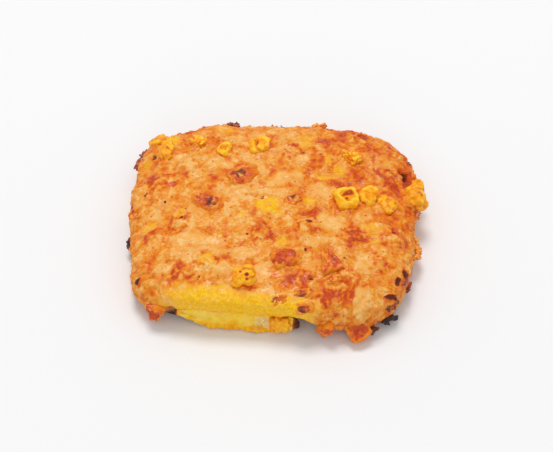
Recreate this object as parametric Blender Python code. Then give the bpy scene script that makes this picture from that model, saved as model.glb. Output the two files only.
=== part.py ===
# A rectangular slice of baked pizza: a flat dough base under a draped blanket of melted
# cheese, a tongue of cheese that ran out at the front, and sweetcorn and ham pieces set
# into the cheese. +X is the slice's right, +Y its back, +Z up, origin under its middle.

import math
import random

import bmesh
import bpy
from mathutils import Matrix, Vector, noise
from mathutils.bvhtree import BVHTree

MM = 0.001
GAP = 0.35  # clearance between pieces that touch, in mm, as are all sizes here

# Plan of the slice, whose corners are where straight sides would meet.
CORNERS = {
    (-1, -1): (-58.0, -38.5),
    (1, -1): (48.2, -48.2),
    (1, 1): (57.5, 51.2),
    (-1, 1): (-59.0, 53.8),
}
CORNER_POWER = {(-1, -1): 5.2, (1, -1): 3.5, (1, 1): 3.7, (-1, 1): 3.9}
FRONT_BOW = -2.0
BACK_BOW = 1.5
RIPPLE = 0.9
RIPPLE_LENGTH = 13.0

# Heights of the cheese blanket.
SHOULDER_HEIGHT = 18.6
CROWN = 2.4
EDGE_POWER = 4.6
HEM_HEIGHT = 2.4
FRONT_HEM_HEIGHT = 9.2
FRONT_HEM_SPAN = (-0.74, 0.2)
HEM_SLOPES = (0.12, 0.32)
BELLY_RISE = 3.2
HEM_TUCK = 1.3
GRID_RINGS = 16
BELLY_RINGS = 2

# Dough base, set back under the blanket, and further back beside the tongue.
BASE_INSET = 3.6
FRONT_SETBACK = 3.4
FRONT_SETBACK_SPAN = (0.28, 0.8)
FRONT_SETBACK_SLOPE = 0.14
BASE_HEIGHT = 12.0
BASE_FOOT_INSET = 5.4

# Tongue of cheese along the base's front foot.
TONGUE_SPAN = (-0.72, 0.24)
TONGUE_HEIGHT = 8.7
TONGUE_REACH = 3.3
TONGUE_LIFT = 0.3
TONGUE_STEPS = 20
TONGUE_CLEARANCE = 0.85

# Low relief of the blanket: a slow swell, a finer ripple, and domes over buried pieces.
SWELL = 0.8
SWELL_LENGTH = 17.0
WRINKLE = 0.42
WRINKLE_LENGTH = 5.5

BURIED_RADIUS = 4.6
BURIED_RISE = 1.25
BURIED_PIECES = [
    (-48.2, -9.2), (-38.6, -3.2), (-45.9, 17.9), (-7.2, 0.8), (-7.1, -9.2), (27.1, -10.2),
    (43.0, -10.2), (9.6, -31.0), (18.3, -38.4), (-42.3, -19.4), (-27.6, -22.3), (-36.0, -26.1),
    (17.7, 27.6), (44.4, 20.1), (3.8, 33.6), (-21.8, -26.0), (24.6, -31.2), (35.2, -22.8),
    (-36.6, 26.6), (10.8, -6.2),
]

# Sweetcorn: where it sits, its length, width and height, its turn in degrees, the share of
# its height sunk in the cheese, and its taper towards the germ end.
CORN = {
    "corn_open": ((25.5, 7.0, 22), (9.4, 9.0, 5.6), 20, 0.36, 0.05),
    "corn_pair_left": ((34.5, 9.2, 22), (8.2, 7.2, 5.6), 75, 0.42, 0.25),
    "corn_pair_right": ((42.0, 6.2, 22), (8.2, 6.4, 4.8), 118, 0.5, 0.2),
    "corn_front": ((-13.6, -30.0, 22), (7.8, 7.4, 5.8), 8, 0.32, 0.08),
    "corn_back": ((-8.6, 36.6, 22), (8.6, 7.8, 5.2), 15, 0.46, 0.15),
    "corn_back_left": ((-22.2, 33.2, 22), (7.0, 5.6, 4.6), 60, 0.56, 0.3),
    "corn_crumbled": ((28.6, 29.2, 22), (7.2, 6.2, 5.0), 130, 0.4, 0.1),
    "corn_right_edge": ((53.5, 12.0, 15), (7.6, 7.8, 7.4), 12, 0.42, 0.05),
    "corn_right_chip": ((57.4, 20.6, 13), (5.0, 4.2, 4.2), 30, 0.1, 0.1),
    "corn_corner": ((-49.8, 42.4, 15), (7.4, 6.0, 5.4), 40, 0.44, 0.2),
    "corn_left_block": ((-46.4, 35.2, 22), (8.4, 5.4, 5.0), 84, 0.5, 0.1),
    "corn_far_left": ((-33.4, 39.2, 22), (7.8, 6.2, 4.8), 140, 0.58, 0.2),
    "corn_on_tongue": ((-0.4, -41.0, 4.7), (6.0, 6.6, 4.0), 90, 0.5, 0.02),
}

# Ham dice, wedges and flakes, laid out the same way, ending with the share of the width
# that is left at the narrow end.
HAM = {
    "ham_die_front": ((28.8, -43.8, 4.6), (7.4, 7.4, 4.4), 30, 0.5, 0.95),
    "ham_wedge_front": ((16.9, -46.4, 5.0), (7.2, 5.4, 4.4), 50, 0.4, 0.35),
    "ham_wedge_left": ((-47.0, -36.8, 5.8), (7.4, 8.2, 4.4), 260, 0.46, 0.3),
    "ham_round": ((1.9, -22.4, 22), (9.4, 8.0, 5.0), 10, 0.5, 0.9),
    "ham_wedge_top": ((18.4, -23.8, 22), (8.8, 8.6, 4.8), 110, 0.48, 0.3),
    "ham_chip_top": ((19.3, -31.1, 22), (5.0, 3.4, 3.2), 10, 0.66, 0.7),
    "ham_charred": ((-14.4, 19.0, 22), (11.4, 8.6, 4.8), 25, 0.68, 0.7),
    "ham_left": ((-28.4, 5.4, 22), (10.6, 7.4, 4.6), 160, 0.62, 0.75),
    "ham_middle": ((5.6, 6.6, 22), (6.6, 5.0, 4.2), 20, 0.72, 0.7),
    "ham_blister_right": ((9.0, -41.6, 15.4), (6.4, 4.4, 3.4), 10, 0.58, 0.8),
    "ham_flake_front": ((8.0, -36.6, 18.8), (6.0, 3.8, 3.0), 5, 0.6, 0.8),
    "ham_blister_left": ((-0.8, -39.4, 17.6), (5.6, 3.8, 3.2), 8, 0.66, 0.8),
    "ham_left_edge": ((-55.4, 4.4, 13.5), (6.4, 5.6, 4.0), 0, 0.76, 0.8),
    "ham_back_edge": ((33.8, 43.2, 18), (7.0, 5.0, 3.8), 170, 0.6, 0.7),
    "ham_strip_right": ((54.0, 28.6, 14.0), (9.0, 3.2, 4.4), 8, 0.74, 0.8),
}

# Pieces that lean on the front edge rather than sit in the cheese: which way their tops face.
LEANING = {
    "corn_on_tongue": (0.0, -0.96, 0.28),
    "ham_die_front": (0.03, -0.62, 0.78),
}

# Crisp cheese lace at the rim: its middle, its reach along the rim, how far it stands out,
# its lumps, their radius, and whether they close into a ring with a hole.
LACE = [
    ((40.3, -36.7, 3.2), 2.6, 1.0, 6, 1.3, False),
    ((46.0, -26.8, 13.0), 1.3, 0.2, 3, 1.1, False),
    ((33.4, -45.4, 3.0), 2.8, 1.0, 6, 1.2, True),
    ((-60.0, -2.8, 5.6), 3.0, 1.8, 5, 1.3, False),
    ((-20.1, 54.0, 13.0), 2.2, 1.5, 4, 1.45, False),
    ((-55.0, 38.6, 8.4), 4.6, 0.9, 9, 1.45, True),
    ((-1.4, 55.0, 12.0), 4.2, 0.9, 5, 1.45, False),
    ((53.6, -8.2, 8.0), 4.4, 2.0, 6, 1.5, False),
    ((54.8, 11.8, 6.4), 3.0, 0.8, 4, 1.3, False),
    ((16.0, 53.0, 14.0), 2.0, 1.4, 3, 1.4, False),
    ((48.2, -24.3, 5.5), 1.2, 0.6, 3, 1.1, False),
    ((40.9, -35.4, 10.0), 1.8, 0.2, 3, 1.0, False),
]

COLOURS = {
    "dough": ((0.62, 0.33, 0.12), 0.8),
    "cheese": ((0.93, 0.50, 0.16), 0.42),
    "pale_cheese": ((0.93, 0.64, 0.14), 0.35),
    "corn": ((0.96, 0.56, 0.05), 0.35),
    "ham": ((0.66, 0.19, 0.07), 0.4),
}


def clear_scene():
    for old in list(bpy.data.objects):
        bpy.data.objects.remove(old)


def finish_material(name):
    """One plain Principled finish for each kind of food."""
    colour, roughness = COLOURS[name]
    made = bpy.data.materials.get(name) or bpy.data.materials.new(name)
    made.use_nodes = True
    shader = made.node_tree.nodes["Principled BSDF"]
    shader.inputs["Base Color"].default_value = (*colour, 1)
    shader.inputs["Roughness"].default_value = roughness
    shader.inputs["Metallic"].default_value = 0
    return made


def object_from(shape, name, finish):
    """A named object from a bmesh whose coordinates are in millimetres."""
    bmesh.ops.recalc_face_normals(shape, faces=shape.faces)
    bmesh.ops.scale(shape, vec=(MM, MM, MM), verts=shape.verts)
    mesh = bpy.data.meshes.new(name)
    shape.to_mesh(mesh)
    shape.free()
    mesh.materials.append(finish_material(finish))
    mesh.shade_smooth()
    mesh.set_sharp_from_angle(angle=math.radians(50))
    made = bpy.data.objects.new(name, mesh)
    bpy.context.scene.collection.objects.link(made)
    return made


def smoothstep(low, high, value):
    share = min(max((value - low) / (high - low), 0.0), 1.0)
    return share * share * (3 - 2 * share)


def between_corners(u, v, corner_values):
    """Bilinear mix of the four corners' values, for u and v from -1 to 1."""
    mix = Vector((0, 0))
    for (side_u, side_v), value in corner_values.items():
        mix += (1 + side_u * u) * (1 + side_v * v) / 4 * Vector(value)
    return mix


def plan_point(u, v, reach):
    """Plan position of the square's rim point (u, v), at a share of the way from the middle."""
    powers = {corner: (power,) * 2 for corner, power in CORNER_POWER.items()}
    power = between_corners(u, v, powers).x
    norm = (abs(u) ** power + abs(v) ** power) ** (1 / power)
    across, along = u / norm * reach, v / norm * reach
    spot = between_corners(across, along, CORNERS)
    spot.y -= FRONT_BOW * max(-along, 0) * (1 - across * across)
    spot.y += BACK_BOW * max(along, 0) * (1 - across * across)
    outward = (spot - plan_middle()).normalized() if reach > 0.01 else Vector((0, 0))
    wave = noise.noise(Vector((u, v, 0.4)) * 60 / RIPPLE_LENGTH)
    return spot + outward * RIPPLE * wave * reach**4


def plan_middle():
    return between_corners(0, 0, CORNERS)


def inset_point(u, v, inset):
    """Plan position at an inset in mm from the slice's outline."""
    radius = (plan_point(u, v, 1) - plan_middle()).length
    return plan_point(u, v, 1 - inset / radius)


def outward_normal(u, v):
    """Unit plan normal of the outline at the front side's point (u, v)."""
    step = 0.01
    along = plan_point(u + step, v, 1) - plan_point(u - step, v, 1)
    return Vector((along.y, -along.x)).normalized()


def square_ring(size):
    """The 8 * size rim points of a square grid ring, from its front left corner."""
    steps = [-1 + index / size for index in range(2 * size)]
    front = [(step, -1) for step in steps]
    right = [(1, step) for step in steps]
    back = [(-step, 1) for step in steps]
    left = [(-1, -step) for step in steps]
    return front + right + back + left


def hem_height(u, v):
    """Height of the blanket's hem, which lifts over the tongue along the front."""
    low, high = FRONT_HEM_SPAN
    rise, fall = HEM_SLOPES
    lifted = smoothstep(low - rise, low, u) * (1 - smoothstep(high, high + fall, u))
    lifted *= smoothstep(-0.8, -1, v)
    return HEM_HEIGHT + (FRONT_HEM_HEIGHT - HEM_HEIGHT) * lifted


def base_point(u, v, inset):
    """Plan position on the dough, whose front steps back beside the tongue."""
    low, high = FRONT_SETBACK_SPAN
    share = smoothstep(low - FRONT_SETBACK_SLOPE, low, u)
    share *= 1 - smoothstep(high, high + FRONT_SETBACK_SLOPE, u)
    return inset_point(u, v, inset + FRONT_SETBACK * share * smoothstep(-0.8, -1, v))


def dome_profile():
    """(reach, lift) of the rings from the middle out, evenly spaced along the section."""
    half_width, rise = 55.0, 13.0
    fine = []
    for index in range(2001):
        turn = index / 2000 * math.pi / 2
        fine.append((math.sin(turn) ** (2 / EDGE_POWER), math.cos(turn) ** (2 / EDGE_POWER)))
    lengths = [0.0]
    for (reach_a, lift_a), (reach_b, lift_b) in zip(fine, fine[1:]):
        step = math.hypot((reach_b - reach_a) * half_width, (lift_b - lift_a) * rise)
        lengths.append(lengths[-1] + step)
    rings, place = [], 0
    for ring in range(1, GRID_RINGS + 1):
        wanted = lengths[-1] * ring / GRID_RINGS
        while lengths[place] < wanted and place < 2000:
            place += 1
        rings.append(fine[place])
    return rings


def relief(spot):
    """Height that the melted surface stands over its smooth form, in mm."""
    rise = SWELL * noise.noise(spot / SWELL_LENGTH)
    rise += WRINKLE * noise.noise(spot / WRINKLE_LENGTH + Vector((9, 4, 2)))
    for x, y in BURIED_PIECES:
        away = math.hypot(spot.x - x, spot.y - y) / BURIED_RADIUS
        if away < 1.5:
            rise += BURIED_RISE * math.exp(-(away**3) * 1.6)
    return rise


def add_ring(shape, corners, height_of):
    """One ring of vertices from (plan point, u, v) entries."""
    return [shape.verts.new((spot.x, spot.y, height_of(u, v))) for spot, u, v in corners]


def bridge(shape, inner, outer):
    """Quads between two rings of the same length."""
    count = len(inner)
    for index in range(count):
        following = (index + 1) % count
        shape.faces.new((inner[index], outer[index], outer[following], inner[following]))


def bridge_to_half(shape, ring, half):
    """Triangles from a ring to one that has every second of its places."""
    for index, start in enumerate(half):
        end = half[(index + 1) % len(half)]
        middle = ring[2 * index + 1]
        shape.faces.new((start, ring[2 * index], middle))
        shape.faces.new((start, middle, end))
        shape.faces.new((end, middle, ring[(2 * index + 2) % len(ring)]))


def grow_square(shape, inner, outer, size):
    """Quads from a square ring to the next larger one, whose corners gain two cells each."""
    for side in range(4):
        start_in, start_out = side * 2 * (size - 1), side * 2 * size
        corner = outer[start_out]
        before = outer[start_out - 1]
        after = outer[start_out + 1]
        shape.faces.new((corner, after, inner[start_in % len(inner)], before))
        for step in range(2 * (size - 1)):
            a = inner[(start_in + step) % len(inner)]
            b = inner[(start_in + step + 1) % len(inner)]
            c = outer[start_out + step + 1]
            d = outer[(start_out + step + 2) % len(outer)]
            shape.faces.new((a, c, d, b))


def add_blanket_outside(shape):
    """The blanket's outer skin as growing square rings, ending in the belly above the hem."""
    middle = plan_middle()
    crown_height = SHOULDER_HEIGHT + CROWN
    inner = [shape.verts.new((middle.x, middle.y, crown_height))]
    for size, (reach, lift) in enumerate(dome_profile(), start=1):
        ring = [(plan_point(u, v, reach), u, v) for u, v in square_ring(size)]

        def height_of(u, v, reach=reach, lift=lift):
            belly = hem_height(u, v) + BELLY_RISE
            return belly + lift * (SHOULDER_HEIGHT - belly) + CROWN * (1 - reach * reach)

        outer = add_ring(shape, ring, height_of)
        if size == 1:
            for side in range(4):
                corners = (outer[2 * side - 1], outer[2 * side], outer[2 * side + 1])
                shape.faces.new((*corners, inner[0]))
        else:
            grow_square(shape, inner, outer, size)
        inner = outer
    return inner


def roughen(shape, seams):
    """Pushes the skin out along its normals by the relief, less near the seams."""
    shape.normal_update()
    moves = []
    for vertex in shape.verts:
        share = smoothstep(0, 5, vertex.co.z - seams)
        moves.append(vertex.normal * relief(vertex.co) * share)
    for vertex, move in zip(shape.verts, moves):
        vertex.co += move


def add_blanket_inside(shape, belly):
    """Turns the skin under at the hem, then up the base's side and across over its top."""
    rim = square_ring(GRID_RINGS)
    ring = belly
    for level in range(1, BELLY_RINGS + 1):
        share = level / BELLY_RINGS
        inset = HEM_TUCK * share * share
        corners = [(inset_point(u, v, inset), u, v) for u, v in rim]
        lower = add_ring(shape, corners, lambda u, v: hem_height(u, v) + BELLY_RISE * (1 - share))
        bridge(shape, ring, lower)
        ring = lower
    ceiling = BASE_HEIGHT + GAP
    sparse_rim = rim[::2]
    underside = [(inset_point(u, v, BASE_INSET - GAP), u, v) for u, v in sparse_rim]
    upper = add_ring(shape, underside, hem_height)
    bridge_to_half(shape, ring, upper)
    ring = upper
    steps = [
        (BASE_INSET - GAP, lambda u, v: ceiling - 1.9),
        (BASE_INSET + 0.7, lambda u, v: ceiling - 0.6),
        (BASE_INSET + 3.2, lambda u, v: ceiling),
    ]
    for inset, height_of in steps:
        corners = [(inset_point(u, v, inset), u, v) for u, v in sparse_rim]
        upper = add_ring(shape, corners, height_of)
        bridge(shape, ring, upper)
        ring = upper
    shape.faces.new(ring)


def build_blanket():
    shape = bmesh.new()
    belly = add_blanket_outside(shape)
    roughen(shape, HEM_HEIGHT + 1)
    add_blanket_inside(shape, belly)
    return object_from(shape, "cheese_blanket", "cheese")


def build_base():
    """The dough: a flat foot, a steep side and a rounded top edge."""
    shape = bmesh.new()
    rim = square_ring(GRID_RINGS)[::2]
    sections = [
        (BASE_FOOT_INSET, 0.0),
        (BASE_INSET + 0.6, 0.9),
        (BASE_INSET, 2.6),
        (BASE_INSET, BASE_HEIGHT - 2.0),
        (BASE_INSET + 1.1, BASE_HEIGHT - 0.7),
        (BASE_INSET + 3.6, BASE_HEIGHT),
    ]
    rings = []
    for inset, height in sections:
        corners = [(base_point(u, v, inset), u, v) for u, v in rim]
        rings.append(add_ring(shape, corners, lambda u, v: height))
    for lower, upper in zip(rings, rings[1:]):
        bridge(shape, lower, upper)
    shape.faces.new(rings[0])
    shape.faces.new(rings[-1])
    return object_from(shape, "dough_base", "dough")


def tongue_section(share):
    """(outward, height) points of the tongue's cut, at a share of the way along it."""
    swell = (1 - abs(2 * share - 1) ** 3.2) ** 0.5
    wander = noise.noise(Vector((share * 7, 2.0, 5.0)))
    reach = TONGUE_REACH * (0.35 + 0.65 * swell) + 0.9 * wander * swell
    height = TONGUE_HEIGHT * (0.55 + 0.45 * swell)
    return [
        (0.0, TONGUE_LIFT),
        (0.72 * reach, TONGUE_LIFT),
        (0.97 * reach, TONGUE_LIFT + 0.6),
        (1.0 * reach, TONGUE_LIFT + 1.6),
        (0.86 * reach, TONGUE_LIFT + 2.6),
        (0.62 * reach, 0.46 * height),
        (0.42 * reach, 0.64 * height),
        (0.34 * reach, 0.84 * height),
        (0.26 * reach, height),
        (0.0, height),
    ]


def build_tongue():
    shape = bmesh.new()
    start, end = TONGUE_SPAN
    rings = []
    for index in range(TONGUE_STEPS + 1):
        share = index / TONGUE_STEPS
        u = start + (end - start) * share
        foot = inset_point(u, -1, BASE_INSET - TONGUE_CLEARANCE)
        outward = outward_normal(u, -1)
        ring = []
        for distance, height in tongue_section(share):
            spot = foot + outward * distance
            ring.append(shape.verts.new((spot.x, spot.y, height)))
        rings.append(ring)
    for left, right in zip(rings, rings[1:]):
        bridge(shape, left, right)
    shape.faces.new(rings[0])
    shape.faces.new(rings[-1])
    return object_from(shape, "cheese_tongue", "pale_cheese")


def kernel_shape(size, taper, open_top, seed):
    """A sweetcorn kernel: a squarish drum, narrower at one end, dented or open on top."""
    shape = bmesh.new()
    segments, rings = 10, 7
    length, width, height = size
    power = 2.6
    loops = []
    for ring in range(1, rings):
        polar = ring / rings * math.pi
        out = math.sin(polar) ** (2 / power)
        up = math.copysign(abs(math.cos(polar)) ** (2 / power), math.cos(polar))
        loop = []
        for index in range(segments):
            turn = 2 * math.pi * index / segments
            x = math.copysign(abs(math.cos(turn)) ** (2 / power), math.cos(turn)) * out
            y = math.copysign(abs(math.sin(turn)) ** (2 / power), math.sin(turn)) * out
            y *= 1 - taper * (x + 1) / 2
            loop.append(shape.verts.new((x * length / 2, y * width / 2, up * height / 2)))
        loops.append(loop)
    bottom = shape.verts.new((0, 0, -height / 2))
    top = shape.verts.new((0, 0, height / 2 - (0.5 if open_top else 0.12) * height))
    if open_top:
        for vertex in loops[0]:
            vertex.co.z -= 0.16 * height
    for upper, lower in zip(loops, loops[1:]):
        bridge(shape, upper, lower)
    for index in range(segments):
        following = (index + 1) % segments
        shape.faces.new((top, loops[0][index], loops[0][following]))
        shape.faces.new((bottom, loops[-1][following], loops[-1][index]))
    dent_surface(shape, seed, 0.07 * min(size), 3.2)
    return shape


def ham_shape(size, narrow_end, seed):
    """A die or wedge of ham: a soft-edged block, dished on top, narrowing to one end."""
    shape = bmesh.new()
    bmesh.ops.create_cube(shape, size=1)
    bmesh.ops.subdivide_edges(shape, edges=shape.edges, cuts=1, use_grid_fill=True)
    bmesh.ops.bevel(
        shape,
        geom=[edge for edge in shape.edges if edge.calc_face_angle(0) > 1],
        offset=0.13,
        segments=1,
        affect="EDGES",
    )
    length, width, height = size
    for vertex in shape.verts:
        x, y, z = vertex.co
        if z > 0.45 and math.hypot(x, y) < 0.2:
            z -= 0.1
        y *= narrow_end + (1 - narrow_end) * (0.5 - x)
        vertex.co = (x * length, y * width, z * height)
    dent_surface(shape, seed, 0.09 * min(size), 3.0)
    return shape


def dent_surface(shape, seed, depth, length):
    """Uneven, baked faces: each vertex moves along its normal by seeded noise."""
    bmesh.ops.recalc_face_normals(shape, faces=shape.faces)
    shape.normal_update()
    start = Vector((seed * 7.3, seed * 3.1, seed * 1.7))
    moves = [
        vertex.normal * depth * noise.noise(vertex.co / length + start) * 1.6
        for vertex in shape.verts
    ]
    for vertex, move in zip(shape.verts, moves):
        vertex.co += move


def outer_skin(blanket):
    """A search tree of the blanket's faces that look away from the slice's heart."""
    heart = Vector((*plan_middle(), BASE_HEIGHT / 2)) * MM
    faces = [
        tuple(face.vertices)
        for face in blanket.data.polygons
        if face.normal.dot(face.center - heart) > 0
    ]
    return BVHTree.FromPolygons([vertex.co for vertex in blanket.data.vertices], faces)


def seat_matrix(skin, spot, height, turn, sunk):
    """Where a piece lies: on the cheese nearest to spot, square to it, partly sunk.

    The turn is counted about the cheese's normal, from +X, or from +Y on the right and left
    sides, where +X would point out of the cheese.
    """
    place, normal, _, _ = skin.find_nearest(Vector(spot) * MM)
    ahead = Vector((1, 0, 0)) if abs(normal.x) < 0.7 else Vector((0, 1, 0))
    sideways = normal.cross(ahead).normalized()
    frame = Matrix((sideways.cross(normal), sideways, normal)).transposed().to_4x4()
    spin = Matrix.Rotation(math.radians(turn), 4, "Z")
    lift = Matrix.Translation(Vector((0, 0, height * (0.5 - sunk))))
    return Matrix.Translation(place / MM) @ frame @ spin @ lift


def leaning_matrix(spot, facing, turn):
    """Where a leaning piece lies: its middle at spot, and its top towards facing."""
    normal = Vector(facing).normalized()
    sideways = normal.cross(Vector((1, 0, 0))).normalized()
    frame = Matrix((sideways.cross(normal), sideways, normal)).transposed().to_4x4()
    return Matrix.Translation(Vector(spot)) @ frame @ Matrix.Rotation(math.radians(turn), 4, "Z")


def grown_copy(shape, distance):
    """A copy of a bmesh with every vertex moved out along its normal."""
    bmesh.ops.recalc_face_normals(shape, faces=shape.faces)
    shape.normal_update()
    grown = shape.copy()
    bmesh.ops.recalc_face_normals(grown, faces=grown.faces)
    grown.normal_update()
    moves = [vertex.normal * distance * 1.25 for vertex in grown.verts]
    for vertex, move in zip(grown.verts, moves):
        vertex.co += move
    return grown


def build_toppings(skin):
    """The sweetcorn and ham, and a slightly larger cutter for each one's pocket."""
    cutters = bpy.data.collections.new("pockets")
    pieces = []
    for seed, (name, row) in enumerate(list(CORN.items()) + list(HAM.items()), start=1):
        spot, size, turn, sunk, last = row
        if name in CORN:
            shape, finish = kernel_shape(size, last, name == "corn_open", seed), "corn"
        else:
            shape, finish = ham_shape(size, last, seed), "ham"
        if name in LEANING:
            shape.transform(leaning_matrix(spot, LEANING[name], turn))
        else:
            shape.transform(seat_matrix(skin, spot, size[2], turn, sunk))
        cutter = object_from(grown_copy(shape, GAP), "pocket_" + name, finish)
        bpy.context.scene.collection.objects.unlink(cutter)
        cutters.objects.link(cutter)
        pieces.append(object_from(shape, name, finish))
    return pieces, cutters


def add_lump(collection, spot, radius, rng):
    """One crisp crag: a small jagged ball."""
    shape = bmesh.new()
    bmesh.ops.create_icosphere(shape, subdivisions=1, radius=radius)
    for vertex in shape.verts:
        vertex.co *= rng.uniform(0.72, 1.25)
        vertex.co.z *= 0.8
        vertex.co += spot
    lump = object_from(shape, "lump", "cheese")
    bpy.context.scene.collection.objects.unlink(lump)
    collection.objects.link(lump)


def lace_lumps(skin, rng):
    """Clusters of crags along the rim. A ring of them leaves a hole, as blown cheese does."""
    lumps = bpy.data.collections.new("lumps")
    for middle, reach, stand_out, count, lump, ringed in LACE:
        place, normal, _, _ = skin.find_nearest(Vector(middle) * MM)
        outward = Vector((normal.x, normal.y, 0)).normalized()
        along = Vector((-outward.y, outward.x, 0))
        home = Vector((place.x / MM, place.y / MM, middle[2]))
        for index in range(count):
            share = index / (count - 1)
            if ringed:
                turn = 2 * math.pi * index / count
                side, out = reach * math.cos(turn), stand_out * (1 + math.sin(turn)) * 0.8
            else:
                side = reach * (2 * share - 1)
                out = stand_out * rng.uniform(0.1, 1) * math.sin(math.pi * (0.15 + 0.7 * share))
            spot = home + along * side + outward * out
            spot.z += rng.uniform(-0.9, 0.9)
            radius = lump * rng.uniform(0.75, 1.1)
            spot.z = max(spot.z, 1.4 * radius)
            add_lump(lumps, spot, radius, rng)
    return lumps


def apply_boolean(target, collection, operation):
    """Applies one Boolean with a whole collection, and removes the collection's objects."""
    cut = target.modifiers.new(operation.lower(), "BOOLEAN")
    cut.operation = operation
    cut.operand_type = "COLLECTION"
    cut.collection = collection
    cut.solver = "EXACT"
    graph = bpy.context.evaluated_depsgraph_get()
    result = bpy.data.meshes.new_from_object(target.evaluated_get(graph))
    target.modifiers.clear()
    target.data = result


def remove_collection(collection):
    for helper in list(collection.objects):
        bpy.data.objects.remove(helper)
    bpy.data.collections.remove(collection)


def keep_largest_body(target):
    """Drops any loose scrap that a cut left beside the main body."""
    shape = bmesh.new()
    shape.from_mesh(target.data)
    left, bodies = set(shape.verts), []
    while left:
        body, edge_of = set(), [left.pop()]
        while edge_of:
            vertex = edge_of.pop()
            body.add(vertex)
            for edge in vertex.link_edges:
                other = edge.other_vert(vertex)
                if other in left:
                    left.remove(other)
                    edge_of.append(other)
        bodies.append(body)
    bodies.sort(key=len)
    scraps = [vertex for body in bodies[:-1] for vertex in body]
    bmesh.ops.delete(shape, geom=scraps, context="VERTS")
    shape.to_mesh(target.data)
    shape.free()


def centre_on_origin(pieces):
    """Moves the slice so that the middle of its bounding box's underside is the origin."""
    points = [vertex.co for piece in pieces for vertex in piece.data.vertices]
    low = [min(point[axis] for point in points) for axis in range(3)]
    high = [max(point[axis] for point in points) for axis in range(3)]
    shift = Vector((-(low[0] + high[0]) / 2, -(low[1] + high[1]) / 2, -low[2]))
    for piece in pieces:
        piece.data.transform(Matrix.Translation(shift))


def main():
    clear_scene()
    rng = random.Random(12)
    blanket = build_blanket()
    base = build_base()
    tongue = build_tongue()
    skin = outer_skin(blanket)
    toppings, cutters = build_toppings(skin)
    lumps = lace_lumps(skin, rng)
    apply_boolean(blanket, lumps, "UNION")
    remove_collection(lumps)
    for target in (blanket, tongue):
        apply_boolean(target, cutters, "DIFFERENCE")
        keep_largest_body(target)
    remove_collection(cutters)
    centre_on_origin([blanket, base, tongue, *toppings])


main()
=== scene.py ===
import math
import random

import bmesh
import bpy
import numpy as np
from mathutils import Matrix, Vector, noise
from mathutils.bvhtree import BVHTree


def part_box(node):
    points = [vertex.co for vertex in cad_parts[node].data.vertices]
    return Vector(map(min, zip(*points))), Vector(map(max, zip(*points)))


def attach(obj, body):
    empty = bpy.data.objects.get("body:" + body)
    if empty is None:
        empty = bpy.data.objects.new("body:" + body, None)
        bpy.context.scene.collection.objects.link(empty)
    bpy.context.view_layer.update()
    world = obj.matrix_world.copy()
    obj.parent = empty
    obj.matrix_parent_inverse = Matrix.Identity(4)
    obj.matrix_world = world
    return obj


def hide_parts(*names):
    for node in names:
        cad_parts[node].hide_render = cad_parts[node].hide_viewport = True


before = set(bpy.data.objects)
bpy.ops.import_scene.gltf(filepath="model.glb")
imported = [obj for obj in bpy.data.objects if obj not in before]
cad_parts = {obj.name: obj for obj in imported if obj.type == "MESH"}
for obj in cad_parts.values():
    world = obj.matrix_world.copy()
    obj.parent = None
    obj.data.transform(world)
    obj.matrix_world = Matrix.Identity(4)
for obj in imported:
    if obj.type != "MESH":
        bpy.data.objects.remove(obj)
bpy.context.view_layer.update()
mm = 0.001
print("frame loaded:", len(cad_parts), "nodes")

# The slice's plan and section, in millimetres: a square whose sides bow and whose corners
# round off, under a dome with steep sides.
slab = {
    "corners": {
        (-1, -1): (-58.0, -38.5), (1, -1): (48.2, -48.2), (1, 1): (57.5, 51.2), (-1, 1): (-59.0, 53.8),
    },
    "cornerPower": {(-1, -1): 5.2, (1, -1): 3.5, (1, 1): 3.7, (-1, 1): 3.9},
    "frontBow": -2.0,
    "backBow": 1.5,
    "ripple": 0.9,
    "rippleLength": 13.0,
    "shoulderHeight": 18.6,
    "crown": 2.4,
    "edgePower": 4.6,
    "hemHeight": 2.4,
    "frontHemHeight": 9.2,
    "frontHemSpan": (-0.74, 0.2),
    "hemSlopes": (0.12, 0.32),
    "bellyRise": 3.2,
    "hemTuck": 1.3,
    "baseInset": 3.6,
    "baseHeight": 12.0,
    "baseSetback": 3.4,
    "setbackSpan": (0.28, 0.8),
    "setbackSlope": 0.14,
    "gap": 0.35,
}


def smooth(low, high, value):
    share = np.clip((value - low) / (high - low), 0, 1)
    return share * share * (3 - 2 * share)


def noiseAt(points, length, start=0.0):  # smooth noise at rows of points, mostly from -0.6 to 0.6
    return np.array([noise.noise(spot) for spot in (points / length + start).tolist()])


def betweenCorners(u, v, values):  # bilinear mix of the four corners' values
    mix = 0
    for (sideU, sideV), value in values.items():
        mix = mix + np.multiply.outer((1 + sideU * u) * (1 + sideV * v) / 4, np.asarray(value, float))
    return mix


slabMiddle = betweenCorners(np.zeros(1), np.zeros(1), slab["corners"])[0]


def planPoints(u, v, reach):  # rim points (u, v) of the square, taken a share of the way from the middle
    power = betweenCorners(u, v, slab["cornerPower"])
    norm = (np.abs(u) ** power + np.abs(v) ** power) ** (1 / power)
    across, along = u / norm * reach, v / norm * reach
    spot = betweenCorners(across, along, slab["corners"])
    spot[:, 1] -= slab["frontBow"] * np.maximum(-along, 0) * (1 - across**2)
    spot[:, 1] += slab["backBow"] * np.maximum(along, 0) * (1 - across**2)
    outward = spot - slabMiddle
    outward /= np.maximum(np.linalg.norm(outward, axis=1), 1e-6)[:, None]
    wave = noiseAt(np.column_stack((u, v, np.full(len(u), 0.4))), slab["rippleLength"] / 60)
    return spot + outward * (slab["ripple"] * wave * reach**4)[:, None]


def insetPoints(u, v, inset):
    one = np.ones(len(u))
    radius = np.linalg.norm(planPoints(u, v, one) - slabMiddle, axis=1)
    return planPoints(u, v, 1 - inset / radius)


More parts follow.
